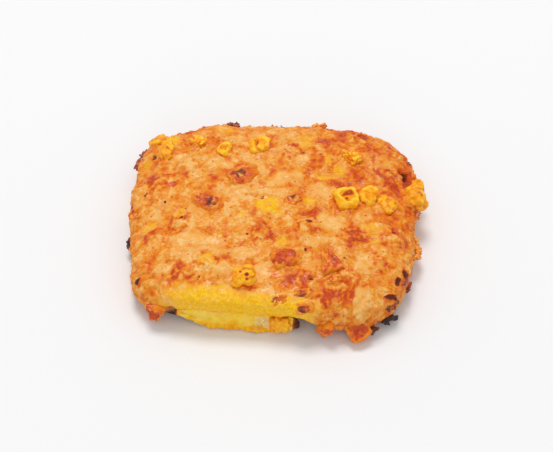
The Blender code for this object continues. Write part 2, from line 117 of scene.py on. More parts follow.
def basePoints(u, v, inset):  # the dough's front steps back beside the tongue
    (low, high), slope = slab["setbackSpan"], slab["setbackSlope"]
    share = smooth(low - slope, low, u) * (1 - smooth(high, high + slope, u)) * smooth(-0.8, -1, v)
    return insetPoints(u, v, inset + slab["baseSetback"] * share)


def hemHeights(u, v):  # the hem lifts over the tongue along the front
    (low, high), (rise, fall) = slab["frontHemSpan"], slab["hemSlopes"]
    lifted = smooth(low - rise, low, u) * (1 - smooth(high, high + fall, u))
    lifted = lifted * smooth(-0.8, -1, v)
    return slab["hemHeight"] + (slab["frontHemHeight"] - slab["hemHeight"]) * lifted


def squareRing(size):  # the 8 * size rim points of a square, from its front left corner
    steps = -1 + np.arange(2 * size) / size
    one = np.ones(2 * size)
    return np.concatenate((steps, one, -steps, -one)), np.concatenate((-one, steps, one, -steps))


def domeSection(share):  # reach and lift at a share of the way down the section, from the middle
    turn = np.linspace(0, math.pi / 2, 2001)
    reach = np.sin(turn) ** (2 / slab["edgePower"])
    lift = np.cos(turn) ** (2 / slab["edgePower"])
    lift[-1] = 0
    length = np.concatenate(([0], np.cumsum(np.hypot(np.diff(reach) * 55, np.diff(lift) * 13))))
    return np.interp(share * length[-1], length, reach), np.interp(share * length[-1], length, lift)


# The plan is drawn off centre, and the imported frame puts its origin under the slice's middle.
ringU, ringV = squareRing(8)
drawnBase = basePoints(ringU, ringV, slab["baseInset"])
low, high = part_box("dough_base")
packedMiddle = np.array([low.x + high.x, low.y + high.y]) / 2 / mm
shift = np.append(packedMiddle - (drawnBase.min(0) + drawnBase.max(0)) / 2, 0.0)
print("plan shift in mm:", shift.round(2))


def meshObject(name, points, faces, material):  # points in mm
    mesh = bpy.data.meshes.new(name)
    mesh.from_pydata((np.asarray(points) * mm).tolist(), [], faces)
    mesh.shade_smooth()
    mesh.materials.append(material)
    made = bpy.data.objects.new(name, mesh)
    bpy.context.scene.collection.objects.link(made)
    return made


def meshPoints(mesh):  # in mm
    points = np.zeros(len(mesh.vertices) * 3)
    mesh.vertices.foreach_get("co", points)
    return points.reshape(-1, 3) / mm


def setPoints(mesh, points):
    mesh.vertices.foreach_set("co", (points * mm).ravel())
    mesh.update()


def meshNormals(mesh):
    normals = np.zeros(len(mesh.vertices) * 3)
    mesh.vertex_normals.foreach_get("vector", normals)
    return normals.reshape(-1, 3)


def paint(mesh, name, *channels):  # up to three masks from 0 to 1, one for each colour channel
    layer = mesh.color_attributes.new(name, "FLOAT_COLOR", "POINT")
    values = np.ones((len(mesh.vertices), 4))
    for place, channel in enumerate(channels):
        values[:, place] = np.clip(channel, 0, 1)
    layer.data.foreach_set("color", values.ravel())


def standIn(piece, slot, *nodes):
    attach(piece, "root")
    if nodes:
        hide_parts(*nodes)


def tint(red, green, blue):  # a colour as it shows on screen, 0 to 255, in the renderer's linear form
    linear = [c / 255 / 12.92 if c < 11 else ((c / 255 + 0.055) / 1.055) ** 2.4 for c in (red, green, blue)]
    return (*linear, 1)


def put(tree, kind, inputs=None, **settings):  # one node, with its inputs set or linked
    node = tree.nodes.new(kind)
    for name, value in settings.items():
        setattr(node, name, value)
    for name, value in (inputs or {}).items():
        if isinstance(value, bpy.types.NodeSocket):
            tree.links.new(value, node.inputs[name])
        else:
            node.inputs[name].default_value = value
    return node


def sums(tree, operation, first, second, third=0.0, clamp=False):
    inputs = {0: first, 1: second, 2: third}
    return put(tree, "ShaderNodeMath", inputs, operation=operation, use_clamp=clamp).outputs[0]


def spread(tree, value, fromLow, fromHigh, toLow=0.0, toHigh=1.0):
    inputs = {"Value": value, "From Min": fromLow, "From Max": fromHigh, "To Min": toLow, "To Max": toHigh}
    return put(tree, "ShaderNodeMapRange", inputs, interpolation_type="SMOOTHSTEP").outputs["Result"]


def blend(tree, share, first, second):
    return put(tree, "ShaderNodeMix", {0: share, 6: first, 7: second}, data_type="RGBA").outputs[2]


def colourRamp(tree, value, stops):
    ramp = put(tree, "ShaderNodeValToRGB", {"Fac": value})
    entries = ramp.color_ramp.elements
    while len(entries) < len(stops):
        entries.new(0.5)
    for entry, (place, colour) in zip(entries, stops):
        entry.position = place
        entry.color = tint(*colour)
    return ramp.outputs["Color"]


def layOver(tree, colour, share, tone, stops):  # a ramp's colours over a colour, where the share is high
    return blend(tree, share, colour, colourRamp(tree, tone, stops))


def addSocket(tree, title, side, kind, value=None):
    socket = tree.interface.new_socket(title, in_out=side, socket_type="NodeSocket" + kind)
    if value is not None:
        socket.default_value = value


def newMaterial(name, shaderValues):
    made = bpy.data.materials.new(name)
    made.use_nodes = True
    shader = made.node_tree.nodes["Principled BSDF"]
    for socket, value in shaderValues.items():
        shader.inputs[socket].default_value = value
    return made, made.node_tree, shader


def makeBakedGrain():  # shared by the baked surfaces: clouds, grains, wisps and a height for the bump
    group = bpy.data.node_groups.new("bakedGrain", "ShaderNodeTree")
    addSocket(group, "Vector", "INPUT", "Vector")
    addSocket(group, "Grain Scale", "INPUT", "Float", 900)
    for title in ("Cloud", "Fine", "Wisp", "Height"):
        addSocket(group, title, "OUTPUT", "Float")
    start, end = group.nodes.new("NodeGroupInput"), group.nodes.new("NodeGroupOutput")
    where, scale = start.outputs["Vector"], start.outputs["Grain Scale"]
    cloudScale = sums(group, "MULTIPLY", scale, 0.4)
    wispScale = sums(group, "MULTIPLY", scale, 0.3)
    cloudInputs = {"Vector": where, "Scale": cloudScale, "Detail": 5.0, "Roughness": 0.62}
    fineInputs = {"Vector": where, "Scale": scale, "Detail": 4.0, "Roughness": 0.6}
    wispInputs = {"Vector": where, "Scale": wispScale, "Detail": 7.0, "Roughness": 0.66, "Distortion": 2.4}
    cloud = put(group, "ShaderNodeTexNoise", cloudInputs)
    fine = put(group, "ShaderNodeTexNoise", fineInputs)
    wisp = put(group, "ShaderNodeTexNoise", wispInputs)
    cells = put(group, "ShaderNodeTexVoronoi", {"Vector": where, "Scale": scale}, feature="SMOOTH_F1")
    dome = sums(group, "SUBTRACT", 1.0, cells.outputs["Distance"], clamp=True)
    height = sums(group, "MULTIPLY_ADD", dome, 0.45, fine.outputs["Fac"])
    group.links.new(spread(group, cloud.outputs["Fac"], 0.26, 0.74), end.inputs["Cloud"])
    group.links.new(spread(group, fine.outputs["Fac"], 0.26, 0.74), end.inputs["Fine"])
    group.links.new(spread(group, wisp.outputs["Fac"], 0.3, 0.7), end.inputs["Wisp"])
    group.links.new(height, end.inputs["Height"])
    return group


bakedGrain = makeBakedGrain()


def grainNodes(tree, scale):  # the baked grain at a piece's own coordinates
    where = put(tree, "ShaderNodeTexCoord").outputs["Object"]
    return put(tree, "ShaderNodeGroup", {"Vector": where, "Grain Scale": scale}, node_tree=bakedGrain).outputs


def painted(tree, name):  # the three masks of a painted attribute
    colour = put(tree, "ShaderNodeAttribute", attribute_name=name).outputs["Color"]
    return put(tree, "ShaderNodeSeparateColor", {0: colour}).outputs


def around(tree, mask, texture, amount):  # a mask whose edge is broken up by a texture
    offset = sums(tree, "MULTIPLY_ADD", texture, amount, -amount / 2)
    return sums(tree, "ADD", mask, offset, clamp=True)


def finishLook(tree, shader, colour, roughness, height, depth):
    bump = put(tree, "ShaderNodeBump", {"Height": height, "Distance": depth * mm, "Strength": 1.0})
    tree.links.new(colour, shader.inputs["Base Color"])
    tree.links.new(roughness, shader.inputs["Roughness"])
    tree.links.new(bump.outputs[0], shader.inputs["Normal"])


softFood = {
    "Subsurface Weight": 0.08,
    "Subsurface Radius": (1.0, 0.5, 0.22),
    "Subsurface Scale": 0.0010,
    "Specular IOR Level": 0.12,
}

cheeseColours = {
    "bake": [
        (0.0, (241, 186, 112)), (0.2, (238, 166, 72)), (0.4, (234, 145, 38)), (0.58, (229, 121, 22)),
        (0.75, (221, 98, 20)), (0.9, (208, 76, 22)), (1.0, (184, 56, 26)),
    ],
    "yellow": [(0.0, (244, 168, 8)), (0.5, (247, 188, 20)), (1.0, (251, 210, 56))],
    "cream": [(0.0, (237, 157, 66)), (0.5, (242, 178, 90)), (1.0, (248, 208, 138))],
    "char": [(0.0, (206, 82, 24)), (0.3, (168, 60, 26)), (0.6, (112, 42, 27)), (1.0, (52, 27, 22))],
    "dot": (196, 58, 20),
    "dotScale": 520.0,
    "grainScale": 950.0,
    "grainDepth": 0.42,
    "wetCoat": 0.4,
    "coat": {"Coat Roughness": 0.22},
}


def makeCheeseLook():
    look = cheeseColours
    material, tree, shader = newMaterial("bakedCheese", {**softFood, **look["coat"]})
    grain = grainNodes(tree, look["grainScale"])
    # The painted masks hold painted shade and painted light as well as the baking: redder in the relief's
    # dips, in the hollows and at each topping's foot, charred at each topping's foot, and paler on raised
    # spots.
    bake, yellow, cream = painted(tree, "bake")
    char, wet, _ = painted(tree, "crust")
    bake = around(tree, bake, grain["Cloud"], 0.34)
    bake = around(tree, bake, grain["Fine"], 0.24)
    bake = around(tree, bake, grain["Wisp"], 0.46)
    colour = colourRamp(tree, bake, look["bake"])
    film = around(tree, around(tree, cream, grain["Wisp"], 0.8), grain["Fine"], 0.4)
    film = sums(tree, "MULTIPLY", film, spread(tree, cream, -0.2, 0.35))
    colour = layOver(tree, colour, film, grain["Cloud"], look["cream"])
    where = put(tree, "ShaderNodeTexCoord").outputs["Object"]
    cells = put(tree, "ShaderNodeTexVoronoi", {"Vector": where, "Scale": look["dotScale"]})
    cellTone = put(tree, "ShaderNodeSeparateColor", {0: cells.outputs["Color"]}).outputs[0]
    chosen = spread(tree, cellTone, 0.82, 0.86)
    inDot = spread(tree, around(tree, cells.outputs["Distance"], grain["Fine"], 0.3), 0.34, 0.1)
    dot = sums(tree, "MULTIPLY", inDot, chosen)
    colour = blend(tree, sums(tree, "MULTIPLY", dot, 0.75), colour, tint(*look["dot"]))
    butter = around(tree, around(tree, yellow, grain["Cloud"], 0.5), grain["Wisp"], 0.4)
    butter = sums(tree, "MULTIPLY", butter, spread(tree, yellow, 0.02, 0.4))
    colour = layOver(tree, colour, butter, grain["Fine"], look["yellow"])
    charEdge = spread(tree, around(tree, char, grain["Cloud"], 0.4), 0.2, 0.5)
    colour = layOver(tree, colour, charEdge, char, look["char"])
    dryness = sums(tree, "MULTIPLY_ADD", grain["Fine"], 0.3, 0.42)
    roughness = sums(tree, "MULTIPLY_ADD", wet, -0.24, dryness, clamp=True)
    coat = sums(tree, "MULTIPLY", spread(tree, wet, 0.35, 0.95), look["wetCoat"])
    tree.links.new(coat, shader.inputs["Coat Weight"])
    finishLook(tree, shader, colour, roughness, grain["Height"], look["grainDepth"])
    return material


crispColours = {
    "edge": [
        (0.0, (246, 166, 38)), (0.25, (226, 118, 28)), (0.5, (166, 70, 26)), (0.72, (94, 40, 26)),
        (1.0, (40, 23, 20)),
    ],
    "grainScale": 1300.0,
    "grainDepth": 0.22,
    "coat": {"Coat Weight": 0.15, "Coat Roughness": 0.25},
}


def makeCrispLook():
    look = crispColours
    material, tree, shader = newMaterial("crispCheese", look["coat"])
    grain = grainNodes(tree, look["grainScale"])
    burnt = painted(tree, "crust")[0]
    burnt = around(tree, around(tree, burnt, grain["Cloud"], 0.35), grain["Fine"], 0.3)
    colour = colourRamp(tree, burnt, look["edge"])
    roughness = sums(tree, "MULTIPLY_ADD", grain["Fine"], 0.35, 0.3)
    finishLook(tree, shader, colour, roughness, grain["Height"], look["grainDepth"])
    return material


tongueColours = {
    "body": [(0.0, (243, 182, 12)), (0.45, (249, 206, 36)), (1.0, (252, 228, 104))],
    "rim": [(0.0, (243, 150, 4)), (0.5, (250, 178, 8)), (1.0, (254, 206, 36))],
    "crumb": [(0.0, (214, 178, 104)), (0.5, (236, 206, 136)), (1.0, (248, 228, 176))],
    "burnt": [(0.0, (226, 132, 20)), (0.35, (184, 88, 20)), (0.7, (112, 52, 22)), (1.0, (60, 32, 22))],
    "grainScale": 620.0,
    "grainDepth": 0.14,
    "coat": {"Coat Weight": 0.1, "Coat Roughness": 0.25},
}


def makeTongueLook():
    look = tongueColours
    material, tree, shader = newMaterial("runCheese", {**softFood, **look["coat"]})
    grain = grainNodes(tree, look["grainScale"])
    rim, crumb, burnt = painted(tree, "bake")
    colour = colourRamp(tree, grain["Cloud"], look["body"])
    colour = layOver(tree, colour, around(tree, crumb, grain["Fine"], 0.4), grain["Fine"], look["crumb"])
    colour = layOver(tree, colour, around(tree, rim, grain["Cloud"], 0.6), grain["Fine"], look["rim"])
    burntEdge = spread(tree, around(tree, burnt, grain["Cloud"], 0.3), 0.16, 0.42)
    colour = layOver(tree, colour, burntEdge, burnt, look["burnt"])
    roughness = sums(tree, "MULTIPLY_ADD", grain["Fine"], 0.3, 0.3)
    finishLook(tree, shader, colour, roughness, grain["Height"], look["grainDepth"])
    return material


doughColours = {
    "crust": [
        (0.0, (226, 176, 104)), (0.35, (206, 142, 72)), (0.6, (168, 98, 44)), (0.8, (118, 62, 30)),
        (1.0, (62, 34, 22)),
    ],
    "flour": (238, 214, 170),
    "grainScale": 520.0,
    "grainDepth": 0.3,
    "softness": {"Subsurface Weight": 0.05, "Subsurface Scale": 0.001},
}


def makeDoughLook():
    look = doughColours
    material, tree, shader = newMaterial("bakedDough", look["softness"])
    grain = grainNodes(tree, look["grainScale"])
    bakeAndShade, dusted, _ = painted(tree, "bake")
    bakeAndShade = around(tree, around(tree, bakeAndShade, grain["Cloud"], 0.55), grain["Fine"], 0.3)
    colour = colourRamp(tree, bakeAndShade, look["crust"])
    dust = spread(tree, around(tree, dusted, grain["Fine"], 0.9), 0.45, 0.8)
    colour = blend(tree, dust, colour, tint(*look["flour"]))
    roughness = sums(tree, "MULTIPLY_ADD", grain["Cloud"], 0.25, 0.62)
    finishLook(tree, shader, colour, roughness, grain["Height"], look["grainDepth"])
    return material


cornColours = {
    "skin": [(0.0, (238, 126, 4)), (0.4, (248, 156, 6)), (0.7, (252, 180, 14)), (1.0, (254, 206, 60))],
    # bright also colours painted light on crumbled kernels' raised flakes, and toasted painted shade in their
    # cracks
    "bright": [(0.0, (252, 184, 12)), (1.0, (255, 218, 70))],
    "toasted": [(0.0, (228, 108, 14)), (0.5, (200, 70, 18)), (1.0, (126, 44, 22))],
    "cheese": [(0.0, (236, 134, 22)), (1.0, (243, 168, 62))],
    "grainScale": 700.0,
    "grainDepth": 0.12,
    "coat": {"Coat Weight": 0.1, "Coat Roughness": 0.18},
}


def makeCornLook():
    look = cornColours
    material, tree, shader = newMaterial("sweetcorn", {**softFood, **look["coat"]})
    grain = grainNodes(tree, look["grainScale"])
    toasted, bright, cheesy = painted(tree, "bake")
    colour = colourRamp(tree, grain["Cloud"], look["skin"])
    colour = layOver(tree, colour, around(tree, bright, grain["Fine"], 0.4), grain["Fine"], look["bright"])
    edge = around(tree, toasted, grain["Cloud"], 0.35)
    colour = layOver(tree, colour, spread(tree, edge, 0.1, 0.7), toasted, look["toasted"])
    colour = layOver(tree, colour, around(tree, cheesy, grain["Fine"], 0.5), grain["Cloud"], look["cheese"])
    roughness = sums(tree, "MULTIPLY_ADD", grain["Fine"], 0.26, 0.24)
    finishLook(tree, shader, colour, roughness, grain["Height"], look["grainDepth"])
    return material


hamColours = {
    "rim": [(0.0, (222, 104, 10)), (0.5, (233, 132, 22)), (1.0, (242, 162, 54))],
    "meat": [(0.0, (232, 126, 52)), (0.35, (218, 96, 36)), (0.65, (200, 68, 26)), (1.0, (162, 48, 26))],
    "charred": [(0.0, (200, 84, 32)), (0.5, (158, 62, 36)), (1.0, (122, 52, 38))],
    "grainScale": 760.0,
    "grainDepth": 0.12,
    "coat": {"Coat Weight": 0.18, "Coat Roughness": 0.16},
}


def makeHamLook():
    look = hamColours
    material, tree, shader = newMaterial("bakedHam", {**softFood, **look["coat"]})
    grain = grainNodes(tree, look["grainScale"])
    meat, charred, cheesy = painted(tree, "bake")
    colour = colourRamp(tree, grain["Cloud"], look["rim"])
    deep = around(tree, grain["Cloud"], grain["Fine"], 0.5)
    inMeat = spread(tree, around(tree, meat, grain["Cloud"], 0.3), 0.2, 0.7)
    colour = layOver(tree, colour, inMeat, deep, look["meat"])
    edge = spread(tree, around(tree, charred, grain["Cloud"], 0.4), 0.2, 0.7)
    colour = layOver(tree, colour, edge, charred, look["charred"])
    covered = around(tree, cheesy, grain["Fine"], 0.4)
    colour = layOver(tree, colour, covered, grain["Cloud"], cornColours["cheese"])
    roughness = sums(tree, "MULTIPLY_ADD", grain["Fine"], 0.3, 0.2)
    finishLook(tree, shader, colour, roughness, grain["Height"], look["grainDepth"])
    return material


bakedCheese = makeCheeseLook()
crispCheese = makeCrispLook()
runCheese = makeTongueLook()
bakedDough = makeDoughLook()
sweetcorn = makeCornLook()
bakedHam = makeHamLook()
print("materials made")

# The cheese blanket's relief, and the spots that stand out of it or sink in. Swell, wrinkle,
# pebble and grain are a height and a length, the bank beside the toppings a height and a width,
# and lowEdge and sideLumps the heights of wide and of narrow lumps. The strands have ranges.
blanket = {
    "rings": 136,
    "bellySteps": 8,
    "swell": (0.8, 17.0),
    "wrinkle": (0.42, 5.5),
    "domeRadius": 4.6,
    "domeRise": 1.25,
    "domes": [
        (-48.2, -9.2), (-38.6, -3.2), (-45.9, 17.9), (-7.2, 0.8), (-7.1, -9.2), (27.1, -10.2),
        (43.0, -10.2), (9.6, -31.0), (18.3, -38.4), (-42.3, -19.4), (-27.6, -22.3), (-36.0, -26.1),
        (17.7, 27.6), (44.4, 20.1), (3.8, 33.6), (-21.8, -26.0), (24.6, -31.2), (35.2, -22.8),
        (-36.6, 26.6), (10.8, -6.2),
    ],
    "pebble": (0.85, 2.5),
    "grain": (0.3, 1.0),
    "fibre": 0.3,
    "hemRagged": 0.7,
    "bank": (0.55, 1.4),
    "skirtWidth": 0.55,
    "lowEdge": (0.5, 0.35),
    "sideLumps": (0.75, 0.3),
    "seed": 41,
    "strands": 620,
    "strandField": 66.0,
    "strandLength": (2.5, 8.0),
    "strandHalfWidth": (0.5, 1.1),
    "strandHeight": (0.12, 0.52),
    "hollows": [  # x, y, half-length, half-width, turn in degrees, depth
        (49.8, 22.8, 4.6, 2.0, 118, 3.2), (11.2, -31.3, 1.6, 1.2, 20, 1.0), (43.8, -8.3, 2.2, 1.2, 80, 0.8),
        (10.2, 0.4, 3.6, 2.0, 10, 0.9), (22.2, -30.8, 2.6, 1.5, 0, 0.9), (-16.8, 36.2, 2.4, 1.2, 30, 0.7),
        (26.8, -9.8, 2.2, 1.5, 60, 0.7), (-38.3, -1.8, 1.4, 1.0, 0, 0.6), (5.7, 7.8, 1.6, 1.1, 0, 0.8),
        (-44.8, 7.7, 1.1, 0.8, 0, 0.6), (16.2, 30.9, 1.3, 0.9, 0, 0.6), (-12.8, -10.3, 1.0, 0.8, 0, 0.5),
        (-50.3, 32.7, 2.6, 1.4, 70, 0.9), (31.2, 20.2, 3.0, 2.2, 0, 0.6), (-50.8, 20.2, 2.4, 1.6, 60, 0.6),
    ],
    # Patches in the plan's own frame, where the cheese baked redder, stayed yellow or pale, or
    # charred: x, y, half-sizes, strength.
    "redPatches": [
        (-38.8, 47.7, 5, 4, 1), (-37.8, 41.2, 4, 3, 0.8), (-46.8, 23.7, 2.5, 2, 0.8),
        (-50.8, 20.2, 2, 3, 0.9), (-46.8, 16.2, 3, 1.5, 0.8), (-39.3, 21.2, 4, 3, 0.7),
        (-34.8, 38.2, 2, 2, 0.7), (-22.8, 37.2, 3, 2, 0.8), (-14.8, 25.2, 6, 1.5, 0.6),
        (-26.8, 17.7, 3, 2, 0.6), (-28.3, 14.2, 4, 2, 0.7), (-25.8, 9.2, 3, 2, 0.6),
        (-16.8, 36.2, 3, 1.5, 0.8), (-3.8, 39.2, 4, 6, 0.6), (-3.3, 21.2, 2, 3, 0.7),
        (-6.8, 16.2, 1.5, 1.5, 0.8), (-22.3, 7.2, 1, 2, 0.8), (24.2, 44.7, 3, 4, 1),
        (16.2, 41.2, 4, 5, 0.8), (14.2, 45.2, 5, 2, 0.7), (2.2, 44.2, 2, 2, 0.6),
        (35.2, 36.2, 3, 3, 0.9), (31.2, 20.2, 4, 4, 0.7), (22.2, 15.2, 6, 2, 0.7),
        (11.2, 24.2, 3, 4, 0.6), (20.2, 31.2, 3, 2, 0.6), (14.2, 8.2, 2.5, 2.5, 0.6),
        (44.2, 40.2, 2, 5, 0.7), (50.2, 21.2, 3, 5, 0.9), (50.2, 11.2, 2, 6, 0.8),
        (44.2, 13.2, 5, 3, 0.6), (3.2, 25.7, 2, 1, 0.6), (-41.8, -6.8, 1.5, 1.5, 0.6),
        (-39.8, -8.8, 4, 1, 0.8), (-29.8, -7.3, 3, 1, 0.6), (-13.8, -14.3, 2, 0.8, 0.9),
        (-15.8, 2.2, 3, 2, 0.5), (-44.8, -29.8, 1.5, 1.5, 0.9), (-37.8, -27.8, 4, 2, 0.6),
        (-41.8, -21.8, 2, 1, 0.7), (-24.8, -31.8, 4, 1, 0.7), (-11.8, -33.8, 3, 2, 1),
        (-7.8, -9.3, 2, 2, 0.5), (1.7, -0.3, 1.2, 1.5, 1), (10.2, 0.2, 4, 2.5, 1),
        (5.7, -5.8, 1.5, 2, 0.8), (4.2, -9.8, 3, 3, 0.6), (26.7, -9.8, 2, 2.5, 1),
        (28.2, -12.8, 4, 3, 0.7), (26.2, -18.8, 3, 4, 0.6), (10.2, -31.8, 5, 4, 0.7),
        (3.2, -29.8, 4, 3, 0.7), (22.2, -30.8, 3, 2, 1), (24.2, -37.8, 3, 3, 0.8),
        (18.2, -38.8, 4, 3, 0.5), (39.2, 0.2, 4, 4, 0.6), (49.2, -1.8, 1.5, 3, 1),
        (43.7, -8.3, 1.2, 2, 0.9), (46.7, -24.8, 2, 3, 0.9), (41.2, -34.8, 4, 1, 0.8),
        (48.2, -13.8, 3, 5, 0.6), (-37.8, -1.8, 3, 2, 0.5), (-49.8, -9.8, 3, 4, 0.4),
        (52.2, 37.2, 3, 6, 0.6), (36.2, 48.2, 8, 3, 0.5),
    ],
    "yellowPatches": [
        (-26.8, -37.8, 14, 5, 1), (-39.8, -34.8, 6, 3, 0.5), (-9.8, -39.8, 12, 4, 0.75),
        (6.2, -41.3, 8, 3, 0.5), (-44.8, 40.2, 4, 6, 0.7), (-21.8, 47.2, 4, 4, 0.4),
        (-4.8, 3.2, 5, 5, 0.85), (10.2, 39.2, 3, 6, 0.4), (19.2, 27.2, 1.5, 4, 0.6),
        (23.2, 21.7, 2.5, 2.5, 0.6), (18.2, 18.2, 5, 1.5, 0.6), (43.2, 46.2, 2, 4, 0.5),
        (-26.8, -22.8, 4, 3, 0.5), (-49.8, -4.8, 2, 3, 0.6), (0.2, -14.8, 3, 2, 0.5),
        (35.7, -8.8, 5, 5, 0.4), (10.2, 6.2, 4, 2, 0.6), (-39.8, 1.2, 3, 3, 0.5),
        (-16.8, -1.8, 3, 3, 0.3), (-53.8, 29.2, 2, 4, 0.3),
    ],
    "creamPatches": [
        (-23.8, 26.2, 6, 3, 0.8), (-16.8, 12.2, 5, 3, 0.8), (-36.8, 25.2, 4, 3, 0.6),
        (-38.8, 30.2, 4, 3, 1), (2.2, 18.2, 6, 4, 0.7), (15.2, 11.2, 6, 4, 0.8), (1.2, 33.2, 5, 4, 0.6),
        (8.2, 28.2, 4, 3, 0.5), (-34.8, -11.8, 7, 4, 0.8), (-26.8, -14.8, 6, 4, 0.7),
        (-43.8, -25.8, 3, 2, 0.8), (-19.8, -26.8, 5, 3, 0.8), (-6.8, -27.8, 4, 4, 0.8),
        (-14.8, -18.8, 6, 3, 0.6), (-36.8, -18.8, 4, 3, 0.6), (18.2, -4.8, 7, 4, 0.8),
        (31.2, -0.8, 4, 3, 0.6), (13.2, -13.8, 6, 2, 0.7), (32.2, -22.8, 5, 5, 0.8),
        (29.2, -38.8, 3, 5, 1), (-48.8, 1.2, 4, 3, 0.5), (-9.8, 28.2, 5, 3, 0.5),
        (38.2, 28.2, 4, 4, 0.4), (-31.8, 3.2, 4, 3, 0.4), (-1.8, 11.2, 4, 2, 0.6),
    ],
    "charPatches": [
        (-52.8, 12.2, 1.2, 1.5, 0.5), (-44.8, 7.7, 0.8, 0.8, 0.9), (-50.3, 32.7, 1.5, 2.5, 0.6),
        (16.2, 30.9, 1, 0.8, 0.7), (9.2, 32.7, 0.8, 0.6, 0.6), (5.8, 7.8, 1.7, 1.0, 0.9),
        (49.8, 22.8, 1.8, 3.6, 0.7), (-6.8, 7.2, 0.8, 1.2, 0.5), (-38.3, -1.8, 0.8, 0.8, 0.8),
        (-12.8, -10.3, 0.7, 0.7, 0.6), (-53.8, -27.8, 1.5, 1, 0.8), (-57.8, -21.8, 1.2, 3, 0.5),
        (11.2, -31.3, 1.2, 1, 0.6), (10.7, -5.3, 1.5, 1.5, 0.5), (24.2, -21.8, 1, 0.5, 0.5),
        (43.7, -8.3, 0.9, 1.6, 0.5), (46.7, -24.8, 1.6, 2, 0.7), (43.7, -28.8, 1.5, 2, 0.7),
        (41.2, -34.8, 3.5, 1, 0.7), (-30.3, -29.8, 0.7, 0.5, 0.6), (-23.3, -29.8, 0.7, 0.5, 0.6),
        (9.2, -18.3, 0.6, 0.9, 0.6), (16.2, -17.8, 0.6, 0.8, 0.9), (34.2, 47.2, 3, 1, 0.5),
        (35.2, 42.2, 2, 1, 0.6), (-58.8, 8.2, 1.2, 4, 0.5), (54.2, 33.2, 1, 2.5, 0.6),
        (1.2, -37.8, 1.4, 1, 0.3),
    ],
}


def patchMask(points, patches, low=0.45, high=1.35):
    left = np.ones(len(points))
    for x, y, halfX, halfY, strength in patches:
        away = np.hypot((points[:, 0] - x) / halfX, (points[:, 1] - y) / halfY)
        left *= 1 - strength * (1 - smooth(low, high, away))
    return 1 - left


def cadRelief(points):  # the low relief that the solid has too, in the plan's own frame
    (swell, swellLength), (wrinkle, wrinkleLength) = blanket["swell"], blanket["wrinkle"]
    rise = swell * noiseAt(points, swellLength)
    rise += wrinkle * noiseAt(points, wrinkleLength, np.array((9, 4, 2)))
    for x, y in blanket["domes"]:
        away = np.hypot(points[:, 0] - x, points[:, 1] - y) / blanket["domeRadius"]
        rise += np.where(away < 1.5, blanket["domeRise"] * np.exp(-(away**3) * 1.6), 0)
    return rise


def lumpTint(points):  # what is baked onto the buried lumps: redder tops and a broken ring
    tone = np.zeros(len(points))
    for number, (x, y) in enumerate(blanket["domes"]):
        away = np.hypot(points[:, 0] - x, points[:, 1] - y) / blanket["domeRadius"]
        ring = np.exp(-(((away - 0.95) / 0.22) ** 2))
        tone += (0.3 * ring + 0.22 * (away < 0.9)) * (0.4 + 0.6 * math.sin(number * 2.1) ** 2)
    return tone


def layStrands(rng):  # half-melted shreds lying on the unrolled surface: their height and tone
    rings = blanket["rings"]
    field = blanket["strandField"]
    cell = field / rings
    rise = np.zeros((2 * rings + 1, 2 * rings + 1))
    tone = np.zeros_like(rise)
    step = 1.1
    for _ in range(blanket["strands"]):
        x, y = rng.uniform(1 - field, field - 1), rng.uniform(1 - field, field - 1)
        heading, curl, shade = rng.uniform(0, 2 * math.pi), rng.uniform(-0.4, 0.4), rng.uniform(-1, 1)
        halfWidth, top = rng.uniform(*blanket["strandHalfWidth"]), rng.uniform(*blanket["strandHeight"])
        for _ in range(int(rng.uniform(*blanket["strandLength"]) / step)):
            nextX, nextY = x + step * math.cos(heading), y + step * math.sin(heading)
            lowI = max(int((min(x, nextX) - halfWidth) / cell) + rings, 0)
            lowJ = max(int((min(y, nextY) - halfWidth) / cell) + rings, 0)
            highI = int((max(x, nextX) + halfWidth) / cell) + rings + 2
            highJ = int((max(y, nextY) + halfWidth) / cell) + rings + 2
            block = (slice(lowJ, highJ), slice(lowI, highI))
            j, i = np.mgrid[lowJ : lowJ + rise[block].shape[0], lowI : lowI + rise[block].shape[1]]
            gridX, gridY = (i - rings) * cell, (j - rings) * cell
            along = np.clip(((gridX - x) * (nextX - x) + (gridY - y) * (nextY - y)) / step**2, 0, 1)
            away = np.hypot(gridX - x - along * (nextX - x), gridY - y - along * (nextY - y))
            bulge = top * np.clip(1 - (away / halfWidth) ** 2, 0, 1) ** 1.4
            higher = bulge > rise[block]
            rise[block][higher] = bulge[higher]
            tone[block][higher] = shade
            x, y = nextX, nextY
            heading += curl + rng.gauss(0, 0.16)
    return rise.ravel(), tone.ravel()


